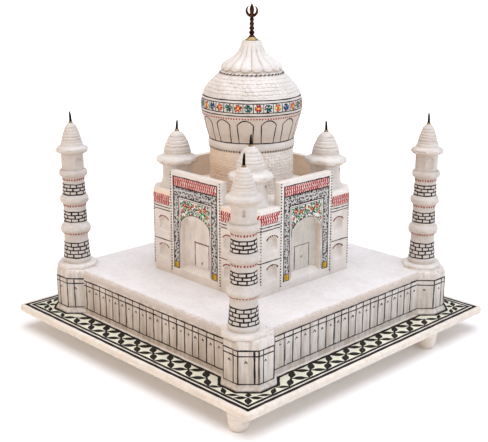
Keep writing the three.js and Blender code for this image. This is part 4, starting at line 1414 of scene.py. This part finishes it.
def spandrel(m):
    """Two garlands that fill the corners above the arch: blooms, leaves both sides of a stem, buds in the gaps."""
    for s in (-1, 1):
        arc = lambda u, e=1.3: (s * u * ARCH_HALF, float(arch_height(np.array(u), Z_SPRING, Z_APEX)) + e)
        placed = []

        def free(a, z, r):
            if abs(a) > 15.2 or z > Z0 + 91.6:
                return False
            u = min(1.0, abs(a) / ARCH_HALF)
            if z < float(arch_height(np.array(u), Z_SPRING, Z_APEX)) + 0.6 + r * 0.5:
                return False
            return all((a - p) ** 2 + (z - q) ** 2 > (r + k) ** 2 * 0.62 for p, q, k in placed)

        for a, z, r, c, e in ((10.6, 88.6, 2.1, "red", "yellow"), (5.4, 87.6, 1.8, "red", "yellow"), (13.4, 84.0, 1.5, "red", "yellow"), (8.0, 91.0, 1.0, "blue", "leaf"),
                              (1.7, 89.6, 1.1, "red", "yellow"), (14.6, 79.4, 1.15, "red", "yellow"), (2.6, 85.3, 0.9, "blue", "yellow")):
            bloom(m, s * a, Z0 + z, r, c, e, 5 if r > 1 else 4)
            placed.append((s * a, Z0 + z, r))
        # leaves thick about the two large blooms, thinning outwards
        for _ in range(900):
            a, z = s * rng.uniform(0.6, 15.2), Z0 + rng.uniform(76.5, 91.8)
            near = min(math.hypot(a - s * p, z - Z0 - q) for p, q in ((10.6, 88.6), (5.4, 87.6)))
            if near > 4.4 and rng.random() < 0.8:
                continue
            r = rng.uniform(0.80, 1.12)
            if not free(a, z, r):
                continue
            placed.append((a, z, r))
            c = rng.choice(("green", "green", "green", "green", "leaf", "green", "green", "leaf", "leaf", "blue", "green"))
            if c in ("green", "leaf"):
                leaf(COL[c], m, a, z, r * 2.7, r * 1.5, rng.uniform(0, PI))
            else:
                dot(COL[c], m, a, z, r * 0.85, rng, sides=7, lift=0.08)
        # stems
        for pts in (((15.0, 77.5), (14.2, 81.5), (12.0, 85.4), (8.2, 87.0), (4.0, 89.6), (0.6, 91.0)), ((13.6, 86.6), (11.8, 91.0), (8.0, 89.4), (6.6, 85.4))):
            stroke(INK, m, [(s * a, Z0 + z) for a, z in pts], 0.34, rng, 0.15, 0.9, 1.0, lift=0.04)
        # beads along the arch
        for i in range(7):
            a, z = arc(0.10 + 0.13 * i, 1.0)
            dot(COL[("green", "red", "blue", "green", "red", "green", "green")[i]], m, a, z, rng.uniform(0.5, 0.72), rng, sides=7, lift=0.10)
    bloom(m, 0, Z0 + 87.0, 1.5, "blue", "yellow", 6)
    leaf(COL["green"], m, 0.9, Z0 + 84.6, 2.0, 0.9, 1.1)
    leaf(COL["green"], m, -0.9, Z0 + 84.6, 2.0, 0.9, 2.0)


for side in SIDES:
    m = side_map(side, F_BODY)
    zt, zr, zg, zgb = Z0 + 108.3, Z0 + 101.0, Z0 + 93.7, Z0 + 39.5
    brick_strokes(m, -22.9, 22.9, zr + 0.2, zt - 0.2)
    scribble(m, -22.9, 22.9, zg, zr - 0.1)
    for s in (-1, 1):
        lo, hi = sorted((s * 17.7, s * 22.9))
        scribble(m, lo, hi, zgb + 5.2, zg)
        fill(GOLD, m, [(lo + 0.5, zgb + 0.6), (hi - 0.4, zgb + 0.6), (hi - 0.4, zgb + 4.6), (lo + 0.5, zgb + 4.6)], 0.06)
        stroke(INK, m, [(lo + 0.2, zgb + 0.2), (hi, zgb + 0.2), (hi, zgb + 5.0), (lo + 0.2, zgb + 5.0), (lo + 0.2, zgb + 0.2)], 0.62, rng, 0.04, 1.0)
        stroke(INK, m, [(lo + 1.6, zgb + 0.9), (lo + 1.9, zgb + 4.4)], 0.34, rng, 0.05, 0.8, lift=0.10)
        stroke(INK, m, [(s * 23.2, zgb - 0.3), (s * 23.2, zt)], 0.85, rng, 0.07, 1.0)
        stroke(INK, m, [(s * 17.45, zgb + 0.2), (s * 17.45, zg)], 0.72, rng, 0.07, 1.0)
        dotted(INK, m, s * 26.1, Z0 + 37.0, s * 26.1, Z0 + 110.6, 2.05, 0.68)
        stroke(SOFT, m, [(s * 15.9, Z0 + 40.5), (s * 15.9, Z0 + 92.3)], 0.4, rng, 0.06, 0.6)
        # part of the outline along the arch
        arc = [(s * ARCH_HALF * u, float(arch_height(np.array(u), Z_SPRING, Z_APEX)) + 0.35) for u in (1.0, 0.985, 0.95, 0.9, 0.82, 0.72, 0.6)]
        stroke(INK, m, [(s * (ARCH_HALF + 0.45), Z_SPRING - 4.0)] + [(a + s * 0.35, z) for a, z in arc], 0.5, rng, 0.05, 0.9, taper=2.0)
        stroke(SOFT, m, [(a, z) for a, z in ((s * ARCH_HALF * u, float(arch_height(np.array(u), Z_SPRING, Z_APEX)) + 0.4) for u in (0.6, 0.4, 0.2, 0.0))], 0.4, rng, 0.04, 0.7)
    sketch_line(INK, m, -23.4, 23.4, zt, 0.8, 1.0)
    sketch_line(INK, m, -22.9, 22.9, zr, 0.95, 1.0, 0.1)
    sketch_line(INK, m, -18.0, 18.0, zg, 0.85, 1.0, 0.1)
    stroke(SOFT, m, [(-16.0, Z0 + 92.3), (16.0, Z0 + 92.3)], 0.45, rng, 0.06, 0.7)
    spandrel(m)
    # door on the wall inside the arch
    dm = side_map(side, 49.8 + 0.14)
    dl, dr = (-7.3, 7.6) if side in ("south", "north") else (-5.7, 9.6)
    sketch_line(INK, dm, dl - 0.1, dr + 0.1, Z0 + 60.2, 0.5, 0.6, 0.12, 1.0, seg=(1.6, 3.0))
    if side in ("south", "north"):
        dotted(MAR, dm, -7.0, Z0 + 60.7, 7.3, Z0 + 60.7, 1.7, 0.5, aspect=1.5)
    stroke(INK, dm, [(dl, Z0 + 60.2), (dl + 0.1, Z0 + 43.0)], 0.72, rng, 0.1, 0.85)
    stroke(MAR if side in ("south", "north") else INK, dm, [(dr, Z0 + 60.2), (dr, Z0 + 43.0)], 0.6, rng, 0.1, 0.85)
    if side in ("south", "north"):
        dot(MAR, dm, 0.3, Z0 + 46.2, 0.8, rng)
        fill(MAR, dm, [(0.0, Z0 + 44.4), (0.7, Z0 + 44.4), (0.55, Z0 + 46.2), (0.1, Z0 + 46.2)])
    else:
        for dx, dz in ((-1.2, 0.8), (0.0, 1.3), (1.2, 0.6), (0.1, -0.7)):
            stroke(SOFT, dm, [(dx + 1.6, Z0 + 51.4 + dz), (dx * 0.2 + 1.6, Z0 + 50.6)], 0.4, rng, 0.05, 0.6, 0.6)

    # wings
    for s in (-1, 1):
        lo, hi = sorted((s * 27.6, s * 45.9))
        brick_strokes(m, lo, hi, Z0 + 84.9, Z0 + 92.2)
        sketch_line(SOFT, m, lo, hi, Z0 + 84.7, 0.35, 0.7, 0.08, 0.6)
        sketch_line(INK, m, lo, hi, Z0 + 82.9, 0.78, 1.0, 0.08, 0.9, seg=(1.2, 2.4))
        sketch_line(INK, m, lo, hi, Z0 + 80.7, 0.72, 0.95, 0.08, 0.2)
        sketch_line(INK, m, lo, hi, Z0 + 58.0, 0.82, 1.0, 0.1)
        dotted(INK, m, s * 45.8, Z0 + 38.5, s * 45.8, Z0 + 83.5, 2.05, 0.64)
        c = s * 34.7
        for zc, top, b_ in ((Z0 + 72.6, 3.0, MAR), (Z0 + 51.6, 2.8, MAR)):
            n = 7
            for i in range(n):
                t = PI * (0.12 + 0.76 * i / (n - 1))
                dot(b_ if (side in ("south", "north") or i % 3) else INK, m, c + 5.4 * math.cos(t), zc + top * math.sin(t) + 0.3, rng.uniform(0.5, 0.72), rng, sides=6,
                    aspect=1.7, tilt=math.atan2(top * math.cos(t), -5.4 * math.sin(t)))
            arc = [(c + 5.5 * math.cos(PI * (0.06 + 0.88 * i / 8)), zc + (top + 0.55) * math.sin(PI * (0.06 + 0.88 * i / 8)) + 0.2) for i in range(9)]
            if rng.random() < 0.5:
                stroke(MAR if side in ("south", "north") else INK, m, arc, 0.34, rng, 0.08, 0.7, 1.0)

# chamfered corners of the building
for where, (sx, sy) in CORNERS.items():
    d = (2 * H - CH) / math.sqrt(2)
    nrm = (sx / math.sqrt(2), sy / math.sqrt(2), 0)
    acr = (-nrm[1], nrm[0], 0)
    m = plane_map((nrm[0] * d, nrm[1] * d, 0), acr, nrm)
    w = CH / math.sqrt(2)
    brick_strokes(m, -w + 0.2, w - 0.2, Z0 + 84.9, Z0 + 92.2)
    sketch_line(INK, m, -w, w, Z0 + 84.6, 0.5, 0.8, 0.08, 0.2)
    sketch_line(INK, m, -w, w, Z0 + 83.3, 0.45, 0.85, 0.08, 0.3)
    sketch_line(INK, m, -w, w, Z0 + 80.7, 0.55, 0.9, 0.08, 0.2)
    sketch_line(INK, m, -w, w, Z0 + 58.0, 0.66, 0.92, 0.1)
    for zc in (Z0 + 72.4, Z0 + 51.4):
        for i in range(6):
            t = PI * (0.15 + 0.7 * i / 5)
            dot(MAR, m, 4.2 * math.cos(t), zc + 2.6 * math.sin(t), 0.55, rng, sides=6, aspect=1.5, tilt=math.atan2(2.6 * math.cos(t), -4.2 * math.sin(t)))
put("facade_lines", INK, ink)
put("facade_lines_faint", SOFT, ink_soft)
put("facade_bricks", REDB, red)
put("facade_brick_ground", PINK, pink_wash)
put("facade_band_ground", GREYW, grey_wash)
put("facade_gold", GOLD, gold)
put("facade_arcs", MAR, maroon)

# kiosk marks: a small arch above each recess
INK = Body()
for where, (sx, sy) in CORNERS.items():
    m = turned_map(sx * K_C, sy * K_C, lambda z: 11.02)
    for k in range(4):
        t0 = -PI / 4 + k * PI / 2 + (0.03 if sx < 0 else -0.26)
        pts = [(t0 + 0.16 * math.cos(PI * (0.1 + 0.8 * i / 6)), Z_ROOF + 12.4 + 1.5 * math.sin(PI * (0.1 + 0.8 * i / 6))) for i in range(7)]
        stroke(INK, m, pts, 0.5, rng, 0.03, rng.uniform(0.5, 0.9), 0.7, 11.0)
put("kiosk_marks", INK, ink)

# dome
INK, RED, SOFT, GREYW = Body(), Body(), Body(), Body()
dm = turned_map(0, 0, dome_radius)


def ring(body, z, w, tone, wob=0.1):
    rad = dome_radius(z)
    a = rng.uniform(0, 6.28)
    stroke(body, dm, [(a + 2 * PI * i / 96, z) for i in range(97)], w, rng, wob, tone, 2.0, rad, closed=True)


for zz, w, tone in ((133.2, 0.78, 1.0), (153.5, 0.74, 1.0), (155.6, 0.68, 1.0), (162.1, 0.68, 1.0), (164.2, 0.78, 1.0)):
    ring(INK, Z0 + zz, w, tone)
n = 96
for i in range(n):
    dot(INK, dm, 2 * PI * i / n, Z0 + 127.0 + rng.uniform(-0.1, 0.1), rng.uniform(0.62, 0.74), rng, 31, 6, aspect=0.85)
n = 112
rad = dome_radius(Z0 + 151.3)
for i in range(n):
    dot(RED, dm, 2 * PI * i / n, Z0 + 151.3 + rng.uniform(-0.1, 0.1), rng.uniform(0.64, 0.80), rng, rad, 6, aspect=0.8)
# twisted cord under the petals: short leaning twists laid end to end
n = 46
cord = turned_map(0, 0, lambda z: 23.35 + (Z0 + 180.2 - z) * 0.55)
for i in range(n):
    t = 2 * PI * i / n
    stroke(INK, cord, [(t, Z0 + 179.5 + rng.uniform(-0.08, 0.08)), (t + 0.080, Z0 + 180.6)], 0.66, rng, 0.03, rng.uniform(0.85, 1.0), 0.7, 23.4, taper=0.5, lift=0.10)
for k in range(13):
    t = math.radians(-51.7 + 360 / 13 * k)
    hw = math.radians(9.3) + rng.uniform(-0.006, 0.006)
    pts = [(t - hw * 0.90, Z0 + 133.2), (t - hw * 0.95, Z0 + 140)]
    for i in range(11):
        u = -1 + 2 * i / 10
        pts.append((t + hw * u, Z0 + 146.6 + 3.4 * (1 - abs(u) ** 2.2)))
    pts += [(t + hw * 0.95, Z0 + 140), (t + hw * 0.90, Z0 + 133.2)]
    stroke(INK, dm, pts, 0.78, rng, 0.08, rng.uniform(0.85, 1.0), 1.2, 34.0)
# floral band: 32 cells, orange and green by turns
rad = 36.85
grey_n = 192
for k in range(32):
    t = math.radians(-44.4 - 15 + 22.5 / 2 * k)
    e = t + math.radians(22.5 / 4)
    stroke(INK, dm, [(e, Z0 + 155.7), (e, Z0 + 162.0)], 0.6, rng, 0.05, 0.95, 1.2, rad)
    zc = Z0 + 158.9
    P_ = lambda u, v: (t + u / rad, zc + v)
    if k % 2 == 0:
        cols = (("orange", "red"), ("red", "orange"), ("orange", "yellow"))[k // 2 % 3]
        for i in range(6):
            a = 2 * PI * i / 6 + rng.uniform(-0.2, 0.2)
            q = P_(1.45 * math.cos(a), 1.5 * math.sin(a))
            dot(COL[cols[i % 3 == 0]], dm, q[0], q[1], rng.uniform(0.80, 1.0), rng, rad, 7)
        dot(COL["yellow" if cols[1] != "yellow" else "red"], dm, t, zc, 0.7, rng, rad, 7, lift=0.12)
    else:
        for i in range(6):
            a = 2 * PI * i / 6 + rng.uniform(-0.3, 0.3)
            q = P_(1.35 * math.cos(a), 1.6 * math.sin(a))
            dot(COL["blue" if (k % 8 == 5 or i % 3 == 2) else "green"], dm, q[0], q[1], rng.uniform(0.66, 0.9), rng, rad, 7, aspect=1.4, tilt=a)
        dot(COL["blue" if k % 4 == 1 else "green"], dm, t + rng.uniform(-0.3, 0.3) / rad, zc + rng.uniform(-0.3, 0.3), 0.6, rng, rad, 6, lift=0.12)
    # dark sprigs all round the bloom
    for i in range(9):
        a = 2 * PI * i / 9 + rng.uniform(-0.25, 0.25)
        r = rng.uniform(2.1, 2.75)
        u, v = r * 1.08 * math.cos(a), r * math.sin(a)
        u, v = max(-2.9, min(2.9, u)), max(-2.7, min(2.7, v))
        c0 = a + PI / 2 + rng.uniform(-0.5, 0.5)
        l = rng.uniform(0.5, 0.85)
        pts = [P_(u + l * (j - 1) * math.cos(c0 + 0.5 * (j - 1)), max(-2.9, min(2.9, v + l * (j - 1) * math.sin(c0 + 0.5 * (j - 1))))) for j in range(3)]
        stroke(INK if i % 4 else COL["green"], dm, pts, rng.uniform(0.60, 0.86), rng, 0.0, 1.0, 0.6, rad)
    for i in range(3):
        a = 2 * PI * (i + rng.random()) / 3
        q = P_(0.95 * math.cos(a), 0.95 * math.sin(a))
        stroke(INK, dm, [q, (q[0] + 0.5 * math.cos(a) / rad, q[1] + 0.5 * math.sin(a))], 0.34, rng, 0.0, 1.0, 0.5, rad, lift=0.13)
# grey ground of the band in short closed tiles that follow the curve
for k in range(grey_n):
    t0, t1 = 2 * PI * k / grey_n, 2 * PI * (k + 1) / grey_n
    fill(GREYW, dm, [(t0, Z0 + 155.7), (t1, Z0 + 155.7), (t1, Z0 + 158.8), (t1, Z0 + 162.0), (t0, Z0 + 162.0), (t0, Z0 + 158.8)], 0.015, 0.35)
put("dome_lines", INK, ink)
put("dome_beading", RED, brick_dot)
put("dome_band_ground", GREYW, grey_wash)
for k, mt in (("green", green), ("leaf", leaf_green), ("blue", blue), ("orange", orange), ("red", red), ("yellow", yellow)):
    put("enamel_" + k, COL[k], mt)

# ------------------------------------------------------------------ stage, light and camera
floor_mat, nt, bsdf, obj = nodes_of("floor_look")
nt.links.new(ramp(nt, noise(nt, obj, 3.0, 2.0), [(0.3, (0.91, 0.91, 0.91)), (0.7, (0.93, 0.93, 0.93))]), bsdf.inputs["Base Color"])
# the sweep stays white away from the lamps: it glows a little more with distance from the model. Near the model the
# glow is faint and warm, painted warm light that lifts and tints the shadow under the plate and the faces turned to it.
ln = nt.nodes.new("ShaderNodeVectorMath")
ln.operation = "LENGTH"
nt.links.new(obj, ln.inputs[0])
gl = nt.nodes.new("ShaderNodeMapRange")
gl.inputs["From Min"].default_value = 0.22
gl.inputs["From Max"].default_value = 1.1
gl.inputs["To Min"].default_value = 0.09
gl.inputs["To Max"].default_value = 1.0
nt.links.new(ln.outputs["Value"], gl.inputs["Value"])
nt.links.new(gl.outputs["Result"], bsdf.inputs["Emission Strength"])
nt.links.new(mix(nt, gl.outputs["Result"], (1.0, 0.92, 0.86), (1.0, 1.0, 1.0)), bsdf.inputs["Emission Color"])
bsdf.inputs["Roughness"].default_value = 0.85
bsdf.inputs["Specular IOR Level"].default_value = 0.1
me = bpy.data.meshes.new("floor")
N = 8
me.from_pydata([(-12 + 24 * i / N, -12 + 24 * j / N, -0.0002) for j in range(N + 1) for i in range(N + 1)], [],
               [(j * (N + 1) + i, j * (N + 1) + i + 1, (j + 1) * (N + 1) + i + 1, (j + 1) * (N + 1) + i) for j in range(N) for i in range(N)])
floor = bpy.data.objects.new("floor", me)
bpy.context.scene.collection.objects.link(floor)
me.materials.append(floor_mat)

scene = bpy.context.scene
world = bpy.data.worlds.new("studio")
scene.world = world
world.use_nodes = True
wt = world.node_tree
bg = wt.nodes["Background"]
wc = wt.nodes.new("ShaderNodeTexCoord")
dt = wt.nodes.new("ShaderNodeVectorMath")
dt.operation = "DOT_PRODUCT"
dt.inputs[1].default_value = (-0.50, -0.80, -0.30)
wt.links.new(wc.outputs["Generated"], dt.inputs[0])
mr = wt.nodes.new("ShaderNodeMapRange")
mr.inputs["From Min"].default_value = -1.0
mr.inputs["From Max"].default_value = 1.0
wt.links.new(dt.outputs["Value"], mr.inputs["Value"])
cr = wt.nodes.new("ShaderNodeValToRGB")
cr.color_ramp.elements[0].position = 0.25
cr.color_ramp.elements[0].color = (0.93, 0.96, 1.05, 1)
cr.color_ramp.elements[1].position = 0.85
cr.color_ramp.elements[1].color = (1.0, 0.72, 0.50, 1)
wt.links.new(mr.outputs["Result"], cr.inputs["Fac"])
wt.links.new(cr.outputs["Color"], bg.inputs["Color"])
bg.inputs["Strength"].default_value = 0.44
# the studio wall behind the model is plain white where it is looked at
wall = wt.nodes.new("ShaderNodeBackground")
wall.inputs["Color"].default_value = (1, 1, 1, 1)
lp = wt.nodes.new("ShaderNodeLightPath")
mx = wt.nodes.new("ShaderNodeMixShader")
wt.links.new(lp.outputs["Is Camera Ray"], mx.inputs[0])
wt.links.new(bg.outputs[0], mx.inputs[1])
wt.links.new(wall.outputs[0], mx.inputs[2])
wt.links.new(mx.outputs[0], wt.nodes["World Output"].inputs["Surface"])


def area(name, loc, aim, size, power, color, size_y=None):
    L = bpy.data.lights.new(name, "AREA")
    L.shape = "RECTANGLE"
    L.size, L.size_y = size, size_y or size
    L.energy = power
    L.color = color
    o = bpy.data.objects.new(name, L)
    scene.collection.objects.link(o)
    o.location = loc
    o.rotation_euler = (Vector(aim) - Vector(loc)).to_track_quat("-Z", "Y").to_euler()
    return o


area("top_box", (0.10, -0.02, 1.5), (0, 0, 0), 1.7, 25.0, (0.95, 0.975, 1.05))
area("right_box", (1.5, -0.05, 0.60), (0, 0, 0.09), 1.1, 3.0, (0.97, 0.98, 1.01))
area("left_fill", (-0.45, -1.5, 0.42), (0, 0, 0.07), 0.9, 2.5, (1.0, 0.78, 0.58))

scene.view_settings.view_transform = "Standard"
scene.view_settings.look = "None"

cam_data = bpy.data.cameras.new("camera")
cam = bpy.data.objects.new("camera", cam_data)
scene.collection.objects.link(cam)
eye = Vector((0.491797, -0.481768, 0.285039))
aim = Vector((0.022028, -0.00659, 0.091784))
roll = 0.007
w = (aim - eye).normalized()
r0 = w.cross(Vector((0, 0, 1))).normalized()
u0 = r0.cross(w)
rv = math.cos(roll) * r0 + math.sin(roll) * u0
uv = -math.sin(roll) * r0 + math.cos(roll) * u0
cam.matrix_world = Matrix(((rv.x, uv.x, -w.x, eye.x), (rv.y, uv.y, -w.y, eye.y), (rv.z, uv.z, -w.z, eye.z), (0, 0, 0, 1)))
cam_data.sensor_width = 36.0
cam_data.sensor_fit = "HORIZONTAL"
cam_data.lens = 952.023 / 488 * 36
cam_data.shift_x = (244 - 266) / 488
cam_data.shift_y = 0.0
cam_data.clip_start = 0.01
cam_data.clip_end = 60
scene.camera = cam
